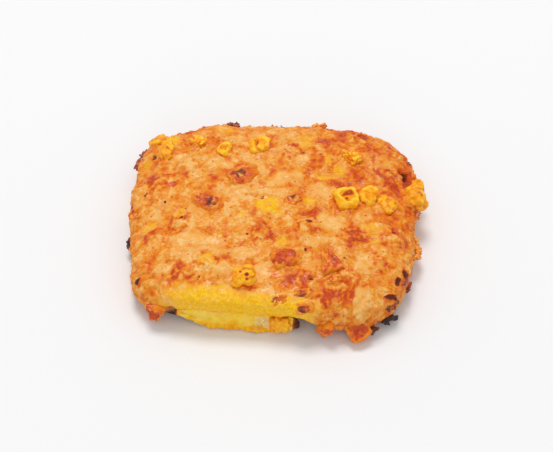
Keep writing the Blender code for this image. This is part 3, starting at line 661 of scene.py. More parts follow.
def blanketForm():  # the smooth form in the plan's own frame, its faces, and its outside share
    rings = blanket["rings"]
    side = 2 * rings + 1
    span = np.arange(-rings, rings + 1) / rings
    across, along = (grid.ravel() for grid in np.meshgrid(span, span))
    share = np.maximum(np.abs(across), np.abs(along))
    safe = np.maximum(share, 1e-9)
    u, v = np.where(share > 0, across / safe, 1.0), np.where(share > 0, along / safe, 0.0)
    reach, lift = domeSection(share)
    belly = hemHeights(u, v) + slab["bellyRise"]
    height = belly + lift * (slab["shoulderHeight"] - belly) + slab["crown"] * (1 - reach**2)
    points = [np.column_stack((planPoints(u, v, reach), height))]
    outside = [np.ones(side * side)]
    first = np.arange(side * side).reshape(side, side)[:-1, :-1].ravel()
    faces = np.column_stack((first, first + 1, first + 1 + side, first + side)).tolist()

    ringU, ringV = squareRing(rings)
    hem = hemHeights(ringU, ringV)
    hemPoints = np.column_stack((insetPoints(ringU, ringV, 0.0), hem))
    hem = hem + blanket["hemRagged"] * (noiseAt(hemPoints, 3.4) + 0.6 * noiseAt(hemPoints, 1.4))
    ceiling = slab["baseHeight"] + slab["gap"]
    inner = slab["baseInset"] - slab["gap"]
    sections = []
    for step in range(1, blanket["bellySteps"] + 1):
        share = step / blanket["bellySteps"]
        sections.append((slab["hemTuck"] * share**2, hem + slab["bellyRise"] * (1 - share), 1.0))
    for inset, rise, share in ((1.65, -0.28, 0.8), (2.15, -0.34, 0.6), (2.75, -0.1, 0.3), (inner, 0.6, 0.0)):
        sections.append((inset, hem + rise, share))
    for inset, level in ((inner, ceiling - 1.9), (inner + 1.05, ceiling - 0.6), (inner + 3.55, ceiling)):
        sections.append((inset, np.full(len(hem), level), 0.0))
    corner = 2 * rings
    upper = np.concatenate((
        first.reshape(corner, corner)[0], np.arange(corner) * side + corner,
        side * side - 1 - np.arange(corner), (corner - np.arange(corner)) * side,
    ))
    for inset, level, share in sections:
        points.append(np.column_stack((insetPoints(ringU, ringV, inset), level)))
        outside.append(np.full(len(hem), share))
        lower = upper.max() + 1 + np.arange(len(hem)) if len(points) == 2 else upper + len(hem)
        faces += np.column_stack((upper, lower, np.roll(lower, -1), np.roll(upper, -1))).tolist()
        upper = lower
    points.append(np.array([[*slabMiddle, ceiling]]))
    outside.append(np.zeros(1))
    last = int(upper.max()) + 1
    faces += [(last, int(b), int(a)) for a, b in zip(upper, np.roll(upper, -1))]
    return np.vstack(points), faces, np.concatenate(outside)


formPoints, formFaces, outside = blanketForm()
cheeseBlanket = meshObject("cheeseBlanket", formPoints, formFaces, bakedCheese)
formNormals = meshNormals(cheeseBlanket.data)
gridCount = (2 * blanket["rings"] + 1) ** 2
relief = cadRelief(formPoints) * smooth(0, 5, formPoints[:, 2] - 3.4) * (outside > 0)
skinPoints = formPoints + formNormals * relief[:, None] + shift
skin = BVHTree.FromPolygons(skinPoints[:gridCount].tolist(), formFaces[: (2 * blanket["rings"]) ** 2])
print("blanket form:", len(formPoints), "points,", len(formFaces), "faces")

# Toppings: length, width, height, turn in degrees, width left at the narrow end, kind, and
# how much of them the cheese covers.
toppings = {
    "corn_open": ((9.4, 9.0, 5.6), 20, 0.95, "open", 0.05),
    "corn_pair_left": ((8.2, 7.2, 5.6), 75, 0.75, "cupped", 0.15),
    "corn_pair_right": ((8.2, 6.4, 4.8), 118, 0.8, "plump", 0.3),
    "corn_front": ((7.8, 7.4, 5.8), 8, 0.92, "specked", 0.05),
    "corn_back": ((8.6, 7.8, 5.2), 15, 0.85, "cupped", 0.2),
    "corn_back_left": ((7.0, 5.6, 4.6), 60, 0.7, "open", 0.35),
    "corn_crumbled": ((7.2, 6.2, 5.0), 130, 0.9, "crumbled", 0.25),
    "corn_right_edge": ((7.6, 7.8, 7.4), 12, 0.95, "block", 0.3),
    "corn_right_chip": ((5.0, 4.2, 4.2), 30, 0.9, "block", 0.0),
    "corn_corner": ((7.4, 6.0, 5.4), 40, 0.8, "plump", 0.35),
    "corn_left_block": ((8.4, 5.4, 5.0), 84, 0.9, "block", 0.55),
    "corn_far_left": ((7.8, 6.2, 4.8), 140, 0.8, "crumbled", 0.55),
    "corn_on_tongue": ((6.0, 6.6, 4.0), 90, 0.98, "block", 0.1),
    "ham_die_front": ((7.4, 7.4, 4.4), 30, 0.95, "die", 0.0),
    "ham_wedge_front": ((7.2, 5.4, 4.4), 50, 0.35, "wedge", 0.15),
    "ham_wedge_left": ((7.4, 8.2, 4.4), 260, 0.3, "wedge", 0.1),
    "ham_round": ((9.4, 8.0, 5.0), 10, 0.9, "round", 0.1),
    "ham_wedge_top": ((8.8, 8.6, 4.8), 110, 0.3, "wedge", 0.2),
    "ham_chip_top": ((5.0, 3.4, 3.2), 10, 0.7, "chip", 0.25),
    "ham_charred": ((11.4, 8.6, 4.8), 25, 0.7, "charred", 0.2),
    "ham_left": ((10.6, 7.4, 4.6), 160, 0.75, "charred", 0.15),
    "ham_middle": ((6.6, 5.0, 4.2), 20, 0.7, "charred", 0.35),
    "ham_blister_right": ((6.4, 4.4, 3.4), 10, 0.8, "blister", 0.3),
    "ham_flake_front": ((6.0, 3.8, 3.0), 5, 0.8, "blister", 0.25),
    "ham_blister_left": ((5.6, 3.8, 3.2), 8, 0.8, "blister", 0.35),
    "ham_left_edge": ((6.4, 5.6, 4.0), 0, 0.8, "chip", 0.4),
    "ham_back_edge": ((7.0, 5.0, 3.8), 170, 0.7, "chip", 0.4),
    "ham_strip_right": ((9.0, 3.2, 4.4), 8, 0.8, "strip", 0.2),
}

# Toppings that lean out of the cheese, and the way that their tops face.
leaning = {"corn_on_tongue": (0.0, -0.96, 0.28), "ham_die_front": (0.03, -0.62, 0.78)}


def toppingSeat(name):  # middle, turned axes as rows, and the height of the cheese beside it
    low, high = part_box(name)
    middle = (low + high) / 2 / mm
    size, turn = toppings[name][:2]
    place, normal, _, _ = skin.find_nearest(middle)
    level = (place - middle).dot(normal)
    if name in leaning:
        normal, level = Vector(leaning[name]).normalized(), -size[2] / 2
    ahead = Vector((1, 0, 0)) if abs(normal.x) < 0.7 else Vector((0, 1, 0))
    sideways = normal.cross(ahead).normalized()
    axes = Matrix((sideways.cross(normal), sideways, normal)).transposed()
    axes = (axes @ Matrix.Rotation(math.radians(turn), 3, "Z")).transposed()
    return np.array(middle), np.array(axes), level


seats = {name: toppingSeat(name) for name in toppings}


def fibreRelief(points):  # fine threads in four directions, each in patches of its own
    fibres = np.zeros(len(points))
    for turn in range(4):
        angle = turn * math.pi / 4
        along = points[:, 0] * math.cos(angle) + points[:, 1] * math.sin(angle)
        beside = points[:, 1] * math.cos(angle) - points[:, 0] * math.sin(angle)
        threads = noiseAt(np.column_stack((along / 5.5, beside / 0.9, points[:, 2] / 2.0 + 7 * turn)), 1.0)
        fibres += threads * smooth(0.0, 0.3, noiseAt(points, 7.5, 30.0 + turn))
    return fibres


def hollowDepth(drawn):  # how deep the cheese has sunk, from points in the plan's own frame
    hollow = np.zeros(len(drawn))
    for x, y, halfLength, halfWidth, turn, deep in blanket["hollows"]:
        angle = math.radians(turn)
        dx, dy = drawn[:, 0] - x, drawn[:, 1] - y
        along = dx * math.cos(angle) + dy * math.sin(angle)
        beside = dy * math.cos(angle) - dx * math.sin(angle)
        hollow += deep * (1 - smooth(0.25, 1.05, np.hypot(along / halfLength, beside / halfWidth)))
    return hollow


def besideToppings(points):  # shares of the banked cheese and of the narrow skirt round the toppings
    bank, skirt = np.zeros(len(points)), np.zeros(len(points))
    bankWidth, skirtWidth = blanket["bank"][1], blanket["skirtWidth"]
    for name, (middle, axes, level) in seats.items():
        size, _, narrow = toppings[name][:3]
        local = (points - middle) @ axes.T
        halfWidth = size[1] / 2 * (narrow + (1 - narrow) * (0.5 - local[:, 0] / size[0]).clip(0, 1))
        offMiddle = np.abs(local[:, 0] / (size[0] / 2)) ** 3 + np.abs(local[:, 1] / halfWidth) ** 3
        gap = (offMiddle ** (1 / 3) - 1) * min(size[:2]) / 2
        near = np.abs(local[:, 2] - level) < 4
        bank = np.maximum(bank, np.where(near & (gap > -1.5), np.exp(-((gap / bankWidth) ** 2)), 0))
        skirt = np.maximum(skirt, np.where(near, np.exp(-((np.maximum(gap, 0) / skirtWidth) ** 2)), 0))
    return bank, skirt


def makeBlanketSurface():
    points = skinPoints
    rng = random.Random(blanket["seed"])
    strandRise, strandTone = np.zeros(len(points)), np.zeros(len(points))
    strandRise[:gridCount], strandTone[:gridCount] = layStrands(rng)
    warpX = 1.5 * noiseAt(points, 4.2, 3.1) + 0.9 * noiseAt(points, 1.7, 8.3)
    warpY = 1.5 * noiseAt(points, 4.2, 13.7) + 0.9 * noiseAt(points, 1.7, 18.9)
    warped = points + np.column_stack((warpX, warpY, np.zeros(len(points))))
    drawn = warped - shift
    calm = smooth(-35, -40, points[:, 1]) * smooth(-46, -40, points[:, 0])
    calm = calm * (1 - smooth(6, 18, points[:, 0]))
    rough = 1 - 0.72 * calm

    depth, length = blanket["pebble"]
    cells = np.array([noise.voronoi(spot)[0][0] for spot in (warped / length).tolist()])
    pebbles = (0.4 - cells**2) * smooth(-0.35, 0.35, noiseAt(points, 7.0, 5.0))
    grain, grainLength = blanket["grain"]
    grains = np.abs(noiseAt(points, grainLength, 1.0)) - 0.2
    fibres = blanket["fibre"] * fibreRelief(points)
    fineRise = rough * (depth * pebbles + grain * grains + fibres + strandRise)
    fineRise -= fineRise[:gridCount].mean()

    hollow = hollowDepth(drawn)
    bank, skirt = besideToppings(points)
    rise = fineRise - hollow * (outside > 0.9) + blanket["bank"][0] * bank * (outside > 0.9)
    wide, narrow = blanket["lowEdge"]
    ragged = wide * noiseAt(points, 2.0, 50.0) + narrow * noiseAt(points, 0.9, 60.0)
    lowEdge = 1 - smooth(2.5, 6.5, points[:, 2])
    rise += ragged * lowEdge * (1 - calm)
    onSide = smooth(3, 7, points[:, 2]) * (1 - smooth(14, 19.5, points[:, 2])) * (1 - calm)
    wide, narrow = blanket["sideLumps"]
    rise += onSide * (wide * noiseAt(points, 3.2, 90.0) + narrow * noiseAt(points, 1.6, 91.0))
    rise *= outside
    setPoints(cheeseBlanket.data, points + formNormals * rise[:, None])

    red = patchMask(drawn, blanket["redPatches"])
    yellow = patchMask(drawn, blanket["yellowPatches"])
    cream = patchMask(drawn, blanket["creamPatches"])
    char = patchMask(drawn - 0.5 * (warped - points), blanket["charPatches"], 0.4, 1.2)
    slow = noiseAt(points, 9.0, 71.0)
    middling = noiseAt(points, 3.4, 72.0)
    quick = noiseAt(points, 1.4, 73.0)
    # Painted shade: the low spots of the fine relief (negative fineRise) come out redder and darker.
    bake = 0.37 + 0.3 * slow + 0.38 * middling + 0.22 * quick + 0.34 * red - 0.24 * cream - 0.22 * fineRise
    backRight = 0.1 * smooth(-25, 25, points[:, 1]) * smooth(-10, 30, points[:, 0])
    strandBake = 0.1 * strandTone * (strandRise > 0)
    # Painted shade: a redder ring in the narrow skirt at each topping's foot, and redder cheese down in the
    # sunken hollows.
    bake += 0.1 * smooth(5, 50, points[:, 0]) + backRight + 0.16 * skirt + 0.12 * hollow + strandBake
    bake += lumpTint(drawn) * smooth(-0.25, 0.3, quick + 0.5 * middling) - 0.3 * calm
    yellow = yellow + 0.6 * calm * smooth(-37, -41, drawn[:, 1])
    yellow = np.clip(yellow + 0.3 * noiseAt(points, 4.5, 74.0) * (1 - red), 0, 1)
    # Painted light: the raised spots of the fine relief come out paler, on top of the pale patches.
    cream = cream * (1 - 0.6 * red) + 0.45 * noiseAt(points, 5.0, 75.0) + 0.3 * fineRise
    rightSide = smooth(47, 52, points[:, 0]) * smooth(0, -20, points[:, 1])
    sides = np.maximum(smooth(-54, -57, points[:, 0]), rightSide)
    char = np.maximum(char, 0.55 * sides * lowEdge * smooth(-0.1, 0.3, noiseAt(points, 2.6, 76.0)))
    # Painted shade: broken char in the narrow skirt at each topping's foot.
    char = np.maximum(char, 0.35 * skirt * smooth(0.05, 0.4, noiseAt(points, 1.8, 77.0)))
    wet = np.clip(0.4 + noiseAt(points, 3.0, 78.0) + 0.5 * skirt, 0, 1)
    notRed = 1 - 0.8 * smooth(0.6, 0.9, bake)
    paint(cheeseBlanket.data, "bake", bake, yellow * notRed, cream * notRed)
    paint(cheeseBlanket.data, "crust", char, wet)
    return np.clip(0.2 + red + char, 0, 1)


fleckShare = makeBlanketSurface()
standIn(cheeseBlanket, "cheese", "cheese_blanket")
print("blanket surface laid")

# How finely the sweetcorn and ham are cut, how square they are, and how uneven; the toasted specks
# of one kernel as x, y, size, strength; and how far each kind of ham sinks in the middle.
toppingDetail = {
    "cuts": 23,
    "fuller": 1.12,
    "cornPower": 2.7,
    "hamPower": 5.0,
    "kindPower": {"block": 4.2, "round": 2.8, "charred": 3.2, "blister": 3.0},
    "wobble": 0.24,
    "lumps": (0.5, 1.7),
    "dents": (0.055, 3.0),
    "grain": (0.2, 0.9),
    "specks": [(0.26, -0.28, 0.24, 1.1), (-0.22, 0.1, 0.16, 0.8), (0.25, -0.7, 0.17, 0.7)],
    "sink": {
        "die": 0.1, "wedge": 0.14, "round": -0.12, "charred": 0.04, "blister": 0.16, "chip": 0.22,
        "strip": 0.1,
    },
}


def unitBlock(cuts):
    shape = bmesh.new()
    bmesh.ops.create_cube(shape, size=2)
    bmesh.ops.subdivide_edges(shape, edges=shape.edges, cuts=cuts, use_grid_fill=True)
    bmesh.ops.recalc_face_normals(shape, faces=shape.faces)
    points = np.array([vertex.co[:] for vertex in shape.verts])
    faces = [[vertex.index for vertex in face.verts] for face in shape.faces]
    shape.free()
    return np.tan(points * math.pi / 4), faces


blockPoints, blockFaces = unitBlock(toppingDetail["cuts"])


def carveCorn(unit, kind, points, start):  # shapes the unit kernel; gives toasted and bright shares, which on crumbled kernels hold painted shade and painted light
    x, y, z = unit.T
    top = smooth(0.1, 0.6, z)
    away = np.hypot(x, y) + 0.4 * noiseAt(points, 2.4, start)
    folds = noiseAt(np.column_stack((points[:, 0] / 2.6, points[:, 1] / 0.8, points[:, 2])), 1.0, start + 4)
    creases = smooth(0.12, -0.3, noiseAt(points, 1.5, start + 9))
    toasted, bright = 0.4 * creases * top, 0.25 + 0.5 * noiseAt(points, 1.9, start + 12)
    if kind == "open":
        crater = (1 - smooth(0.22, 0.6, away)) * top
        lip = np.exp(-(((away - 0.66) / 0.2) ** 2)) * top
        unit[:, 2] += 0.14 * lip - 0.34 * crater + 0.4 * crater * folds
        toasted = crater * smooth(-0.25, 0.25, folds) * 0.75
        bright = 1.1 * lip + 0.25 * top
    elif kind == "cupped":
        bowl = np.hypot(x - 0.15, y + 0.2) + 0.3 * noiseAt(points, 2.2, start + 3)
        cup = (1 - smooth(0.1, 0.7, bowl)) * top
        fold = np.exp(-(((x + 0.1 + 0.25 * noiseAt(points, 2.5, start)) / 0.13) ** 2)) * top
        unit[:, 2] -= 0.16 * cup + 0.2 * fold
        toasted = 0.3 * cup * creases + 0.4 * fold
        bright = 0.7 * smooth(0.45, 0.85, away) * top
    elif kind == "specked":
        for speckX, speckY, size, amount in toppingDetail["specks"]:
            speck = 1 - smooth(0.5, 1.2, np.hypot(x - speckX, y - speckY) / size)
            toasted = np.maximum(toasted, amount * speck * top)
            unit[:, 2] -= 0.12 * speck * top
        unit[:, 2] += 0.12 * folds * top
    elif kind == "crumbled":
        crumbs = np.abs(noiseAt(points, 1.9, start + 2))
        unit += unit * (0.45 * crumbs - 0.12)[:, None] * smooth(-0.4, 0.3, z)[:, None]
        # Painted shade and painted light: the cracks between the crumbs come out toasted-dark, the raised
        # flakes bright.
        toasted = 0.55 * (1 - smooth(0.02, 0.16, crumbs)) * top
        bright = 0.8 * smooth(0.2, 0.45, crumbs) * top
    elif kind == "block":
        ridges = noiseAt(np.column_stack((unit[:, :2] * 3.4, unit[:, 2] * 0.8)), 1.0, start + 3)
        unit[:, :2] *= (1 + 0.16 * ridges)[:, None]
        unit[:, 2] += 0.2 * noiseAt(points, 1.8, start + 6) * top
        bright = 0.3 + 0.6 * ridges
        toasted = 0.5 * smooth(0.05, 0.45, noiseAt(points, 2.2, start + 8))
    else:
        unit[:, 2] -= 0.14 * np.exp(-(((y - 0.1) / 0.16) ** 2)) * top * smooth(0.9, 0.2, np.abs(x))
    return toasted, bright


def carveHam(unit, kind, points, start):  # shapes the unit die; gives meat and charred shares
    x, y, z = unit.T
    top = smooth(0.2, 0.75, z)
    edge = np.maximum(np.abs(x), np.abs(y)) + 0.3 * noiseAt(points, 2.2, start)
    if kind in ("charred", "blister", "round", "chip"):
        edge = np.hypot(x, y) * 0.94 + 0.42 * noiseAt(points, 2.6, start)
    dish = (1 - smooth(0.42, 0.86, edge)) * top
    rimBand = np.exp(-(((edge - 0.9) / 0.16) ** 2)) * top
    wrinkles = noiseAt(np.column_stack((points[:, :2] / 1.3, points[:, 2])), 1.0, start + 2)
    unit[:, 2] -= toppingDetail["sink"][kind] * dish
    unit[:, 2] += 0.12 * rimBand + 0.12 * wrinkles * top
    meat = dish + 0.25 * top + 0.3 * wrinkles * top
    charred = np.zeros(len(unit))
    if kind == "charred":
        offBlot = np.hypot((x + 0.16) / 0.75, y - 0.12) + 0.5 * noiseAt(points, 2.4, start + 7)
        blot = 1 - smooth(0.15, 0.9, offBlot)
        charred = np.maximum(blot, 0.5 * dish * smooth(0.0, 0.35, noiseAt(points, 2.0, start + 8))) * top
        unit[:, 2] -= 0.12 * blot * top
    elif kind == "blister":
        blot = np.exp(-(((np.hypot(x, y + 0.1) - 0.5) / 0.24) ** 2)) * smooth(0.5, -0.4, x + 0.6 * y)
        charred = (0.8 * blot + 0.3 * dish) * top
        meat = 0.6 * dish
    elif kind == "wedge":
        charred = 0.55 * smooth(0.8, 1.0, x) * top + 0.3 * dish * smooth(0.1, 0.4, wrinkles)
        meat = np.maximum(meat, 0.8 * smooth(0.0, 0.5, -y) * smooth(-0.6, 0.2, z))
    elif kind == "strip":
        charred = 0.7 * smooth(0.0, 0.4, noiseAt(points, 2.0, start + 5)) * smooth(-0.2, 0.6, x)
        meat = 0.35 + 0.6 * noiseAt(points, 2.4, start + 6)
    elif kind == "round":
        meat = (1 - smooth(0.6, 0.95, edge)) * smooth(-0.1, 0.4, z)
        charred = (0.2 * smooth(0.1, 0.7, -y) + 0.3 * smooth(0.1, 0.4, wrinkles)) * meat
    else:
        charred = 0.45 * dish * smooth(0, 0.35, noiseAt(points, 1.6, start + 5))
    return meat, charred


def camelName(node):  # corn_open gives cornOpen
    first, *others = node.split("_")
    return first + "".join(word.title() for word in others)


def makeTopping(name, number):
    size, _, narrow, kind, covered = toppings[name]
    middle, axes, level = seats[name]
    isCorn = name.startswith("corn")
    carve, material = (carveCorn, sweetcorn) if isCorn else (carveHam, bakedHam)
    power = toppingDetail["cornPower"] if isCorn else toppingDetail["hamPower"]
    power = toppingDetail["kindPower"].get(kind, power)
    norm = (np.abs(blockPoints) ** power).sum(1) ** (1 / power)
    unit = blockPoints / norm[:, None]
    start = number * 3.7
    flattened = unit * (1.0, 1.0, 0.3)
    outline = noiseAt(flattened, 0.85, start) + 0.5 * noiseAt(flattened, 0.4, start)
    wobble = toppingDetail["wobble"] * (0.3 if kind in ("die", "wedge") else 1.0)
    unit[:, :2] *= (1 + wobble * outline)[:, None]
    first, second = carve(unit, kind, unit * np.array(size) / 2, start)
    unit[:, 1] *= narrow + (1 - narrow) * (0.5 - unit[:, 0] / 2)
    points = unit * np.array(size) / 2 * toppingDetail["fuller"]
    piece = meshObject(camelName(name), points, blockFaces, material)
    depth, length = toppingDetail["dents"]
    grain, grainLength = toppingDetail["grain"]
    lump, lumpLength = toppingDetail["lumps"]
    moves = depth * min(size) * noiseAt(points, length, start + 20) * 1.6
    moves += lump * noiseAt(points, lumpLength, start + 25)
    grains = np.abs(noiseAt(points, grainLength, start + 30)) - 0.2
    moves += grain * grains + 0.1 * noiseAt(points, 0.55, start)
    points = points + meshNormals(piece.data) * moves[:, None]
    cheesy = 1 - smooth(level - 0.1, level + 1.2, points[:, 2] + 0.9 * noiseAt(points, 1.7, start + 40))
    film = 0.5 + noiseAt(points, 2.6, start + 50) + 0.5 * noiseAt(points, 1.0, start + 55)
    cheesy = np.maximum(cheesy, smooth(1.0 - covered, 1.3 - covered, film))
    paint(piece.data, "bake", first, second, cheesy)
    placed = points @ axes
    setPoints(piece.data, placed + middle - (placed.min(0) + placed.max(0)) / 2)
    standIn(piece, "corn" if isCorn else "ham", name)


for number, name in enumerate(toppings, start=1):
    makeTopping(name, number)
print("toppings set:", len(toppings))

# The dough base's section from foot to top, as inset and height, and its crust.
dough = {
    "rimPoints": 60,
    "section": [(5.4, 0.0), (4.2, 0.9), (3.6, 2.6), (3.6, 10.0), (4.7, 11.3), (7.2, 12.0)],
    "sideSteps": 30,
    "bottomRings": 44,
    "bubbles": (0.5, 3.2),
    "pores": (0.3, 1.1),
}


def makeDough():
    u, v = squareRing(dough["rimPoints"])
    count = len(u)
    section = np.array(dough["section"])
    length = np.concatenate(([0], np.cumsum(np.linalg.norm(np.diff(section, axis=0), axis=1))))
    wanted = np.linspace(0, length[-1], dough["sideSteps"])
    insets = np.interp(wanted, length, section[:, 0])
    heights = np.interp(wanted, length, section[:, 1])
    foot = basePoints(u, v, insets[0])
    rings = []
    for step in range(1, dough["bottomRings"]):
        spot = slabMiddle + (foot - slabMiddle) * step / dough["bottomRings"]
        rings.append(np.column_stack((spot, np.zeros(count))))
    for inset, height in zip(insets, heights):
        rings.append(np.column_stack((basePoints(u, v, inset), np.full(count, height))))
    points = np.vstack([[[*slabMiddle, 0.0]], *rings, [[*slabMiddle, heights[-1]]]])
    faces = []
    for ring in range(len(rings) - 1):
        inner = 1 + ring * count + np.arange(count)
        outer = inner + count
        faces += np.column_stack((inner, np.roll(inner, -1), np.roll(outer, -1), outer)).tolist()
    last = 1 + (len(rings) - 1) * count + np.arange(count)
    faces += [(0, 1 + (index + 1) % count, 1 + index) for index in range(count)]
    faces += [(len(points) - 1, int(a), int(b)) for a, b in zip(last, np.roll(last, -1))]
    piece = meshObject("doughBase", points, faces, bakedDough)
    normals = meshNormals(piece.data)
    bubble, bubbleLength = dough["bubbles"]
    pore, poreLength = dough["pores"]
    pores = np.abs(noiseAt(points, poreLength, 4.0)) - 0.3
    crust = bubble * noiseAt(points, bubbleLength, 2.0) + pore * pores
    onSide = smooth(0.2, 1.6, points[:, 2]) * (1 - smooth(10.5, 11.5, points[:, 2]))
    points = points + normals * (crust * onSide)[:, None]
    below = points[:, 2] < 0.05
    points[below, 2] = 0.03 + 0.32 * smooth(0.12, 0.45, noiseAt(points[below], 2.6, 6.0))
    bakeAndShade = 0.48 + 0.5 * noiseAt(points, 8.0, 11.0) + 0.35 * noiseAt(points, 2.8, 12.0)
    bakeAndShade += 0.25 * (1 - smooth(1.0, 3.5, points[:, 2])) * smooth(0.05, 0.4, points[:, 2])
    # Painted shade and painted light: the crust comes out darker in its dents and pores and paler on its
    # bubbles.
    bakeAndShade -= 0.6 * crust * onSide
    dusted = below * (0.45 + 0.5 * noiseAt(points, 6.0, 13.0))
    paint(piece.data, "bake", bakeAndShade, dusted)
    setPoints(piece.data, points + shift)
    standIn(piece, "dough", "dough_base")


makeDough()
print("dough base baked")

# The tongue of run-out cheese, whose span is a part of the front edge from -1 to 1.
tongue = {
    "span": (-0.72, 0.24),
    "height": 8.7,
    "reach": 3.3,
    "lift": 0.3,
    "raisedEnds": (3.6, 2.0),
    "clearance": 0.85,
    "steps": 220,
    "around": 80,
    "lumps": (0.8, 2.8),
    "folds": (0.45, 1.1),
}


def tongueSection(share):  # outward and height of the cut's points, with both ends drawn up
    swell = (1 - abs(2 * share - 1) ** 3.2) ** 0.5
    wander = noise.noise((share * 7, 2.0, 5.0))
    reach = tongue["reach"] * (0.35 + 0.65 * swell) + 0.9 * wander * swell
    height, lift = tongue["height"] * (0.55 + 0.45 * swell), tongue["lift"]
    reach *= 0.45 + 0.55 * smooth(0.0, 0.3, share)
    leftRaise, rightRaise = tongue["raisedEnds"]
    lift += leftRaise * (1 - smooth(0.0, 0.34, share)) + rightRaise * smooth(0.88, 1.0, share)
    height = max(height, lift + 3.4)
    return np.array([
        (0.0, lift), (0.72 * reach, lift), (0.97 * reach, lift + 0.6), (reach, lift + 1.6),
        (0.86 * reach, lift + 2.6), (0.62 * reach, max(0.46 * height, lift + 2.8)),
        (0.42 * reach, max(0.64 * height, lift + 3.0)), (0.34 * reach, max(0.84 * height, lift + 3.2)),
        (0.26 * reach, height), (0.0, height),
    ])


def makeTongue():
    low, high = tongue["span"]
    steps, count = tongue["steps"], tongue["around"]
    share = np.linspace(0.0, 1.0, steps + 1)
    u = low + (high - low) * share
    front = np.full(len(u), -1.0)
    foot = insetPoints(u, front, slab["baseInset"] - tongue["clearance"])
    ahead = planPoints(u + 0.01, front, np.ones(len(u))) - planPoints(u - 0.01, front, np.ones(len(u)))
    outward = np.column_stack((ahead[:, 1], -ahead[:, 0]))
    outward /= np.linalg.norm(outward, axis=1)[:, None]
    rings, parts, out = [], [], []
    for index, part in enumerate(share):
        corners = tongueSection(part)
        closed = np.vstack((corners, corners[:1]))
        length = np.concatenate(([0], np.cumsum(np.linalg.norm(np.diff(closed, axis=0), axis=1))))
        places = np.linspace(0, length[-1], count, endpoint=False)
        cut = np.column_stack([np.interp(places, length, closed[:, axis]) for axis in (0, 1)])
        for _ in range(3):
            cut = (np.roll(cut, 1, 0) + 2 * cut + np.roll(cut, -1, 0)) / 4
        ending = min(part, 1 - part) * steps / 5
        if ending < 1:  # the ends close as rounded lips
            cut = cut.mean(0) + (cut - cut.mean(0)) * (0.15 + 0.85 * math.sqrt(ending * (2 - ending)))
        spot = foot[index] + outward[index] * cut[:, :1]
        rings.append(np.column_stack((spot, cut[:, 1])))
        out.append(cut[:, 0])
        parts.append(np.full(count, part))
    points = np.vstack(rings)
    out, part = np.concatenate(out), np.concatenate(parts)
    faces = []
    for ring in range(steps):
        left = ring * count + np.arange(count)
        faces += np.column_stack((left, left + count, np.roll(left, -1) + count, np.roll(left, -1))).tolist()
    ends = len(points)
    points = np.vstack((points, rings[0].mean(0), rings[-1].mean(0)))
    out, part = np.append(out, (0, 0)), np.append(part, (0, 1))
    faces += [(ends, index, (index + 1) % count) for index in range(count)]
    lastRing = steps * count
    faces += [(ends + 1, lastRing + (index + 1) % count, lastRing + index) for index in range(count)]
    piece = meshObject("cheeseTongue", points, faces, runCheese)
    normals = meshNormals(piece.data)
    outside = smooth(0.4, 1.2, out)
    lump, lumpLength = tongue["lumps"]
    fold, foldLength = tongue["folds"]
    lip = smooth(0.5, 0.9, out / tongue["reach"]) * (1 - smooth(2.6, 4.2, points[:, 2]))
    drawnOut = np.column_stack((points[:, 0] / 4.5, points[:, 1], points[:, 2]))
    rise = lump * noiseAt(points, lumpLength, 3.0) + fold * noiseAt(drawnOut, foldLength, 5.0)
    rise += 0.16 * (np.abs(noiseAt(points, 0.8, 6.0)) - 0.2)
    rise += lip * (0.5 * noiseAt(points, 3.8, 9.0) + 0.4 * noiseAt(points, 1.5, 10.0))
    points = points + normals * (rise * outside)[:, None]
    points[:, 2] = np.maximum(points[:, 2], 0.1)
    rim = np.clip(lip * 1.15 + 0.7 * (1 - smooth(0.0, 0.12, part)), 0, 1)
    rim = np.maximum(rim, 0.5 * smooth(0.1, 0.5, noiseAt(points, 3.0, 15.0)))
    inPatch = smooth(0.6, 0.7, part) * (1 - smooth(0.83, 0.9, part))
    crumb = inPatch * smooth(1.6, 3.0, points[:, 2]) * (1 - smooth(6.5, 8, points[:, 2]))
    scattered = 0.2 * smooth(0.0, 0.4, noiseAt(points, 4.0, 16.0)) * smooth(2.5, 4.0, points[:, 2])
    crumb = np.maximum(crumb, scattered)
    burnt = np.maximum(1 - smooth(0.0, 0.05, part), smooth(0.93, 0.98, part))
    burnt = np.maximum(burnt * 0.9, 0.12 * lip * smooth(0.2, 0.5, noiseAt(points, 1.6, 17.0)))
    paint(piece.data, "bake", rim, crumb, burnt)
    setPoints(piece.data, points + shift)
    standIn(piece, "pale_cheese", "cheese_tongue")


makeTongue()
print("tongue run out")

# Crisp lace along the rim: lumps of burnt cheese fused into crusts.
lace = {
    "rows": {  # middle in the plan's frame, reach, stand-out, lumps, their radius, ringed, how burnt
        "laceFrontRight": ((40.3, -36.7, 3.2), 2.6, 1.0, 6, 1.3, False, 1.0),
        "laceRightHigh": ((46.0, -26.8, 13.0), 1.3, 0.2, 3, 1.1, False, 0.6),
        "laceBesideDie": ((33.4, -45.4, 3.0), 2.8, 1.0, 6, 1.2, True, 0.68),
        "laceLeft": ((-60.0, -2.8, 5.6), 2.2, 1.0, 4, 1.2, False, 0.9),
        "laceBackPeak": ((-20.1, 54.0, 13.0), 2.2, 1.5, 4, 1.45, False, 0.6),
        "laceCorner": ((-55.0, 38.6, 8.4), 4.6, 0.9, 9, 1.45, True, 0.45),
        "laceBackArc": ((-1.4, 55.0, 12.0), 4.2, 0.9, 5, 1.45, False, 0.4),
        "laceRightBump": ((53.6, -8.2, 8.0), 4.4, 2.0, 6, 1.5, False, 0.08),
        "laceRightFrill": ((54.8, 11.8, 6.4), 3.0, 0.8, 4, 1.3, False, 0.2),
        "laceBackTip": ((16.0, 53.0, 14.0), 2.0, 1.4, 3, 1.4, False, 0.08),
        "laceRightOut": ((48.2, -24.3, 5.5), 1.2, 0.6, 3, 1.1, False, 0.6),
        "laceRightSpecks": ((40.9, -35.4, 10.0), 1.8, 0.2, 3, 1.0, False, 0.7),
    },
    "beads": 9,
    "beadRadius": (0.3, 0.7),
    "voxel": 0.26,
    "cragDepth": 0.4,
    "cragSize": 1.3,
    "seed": 12,
}


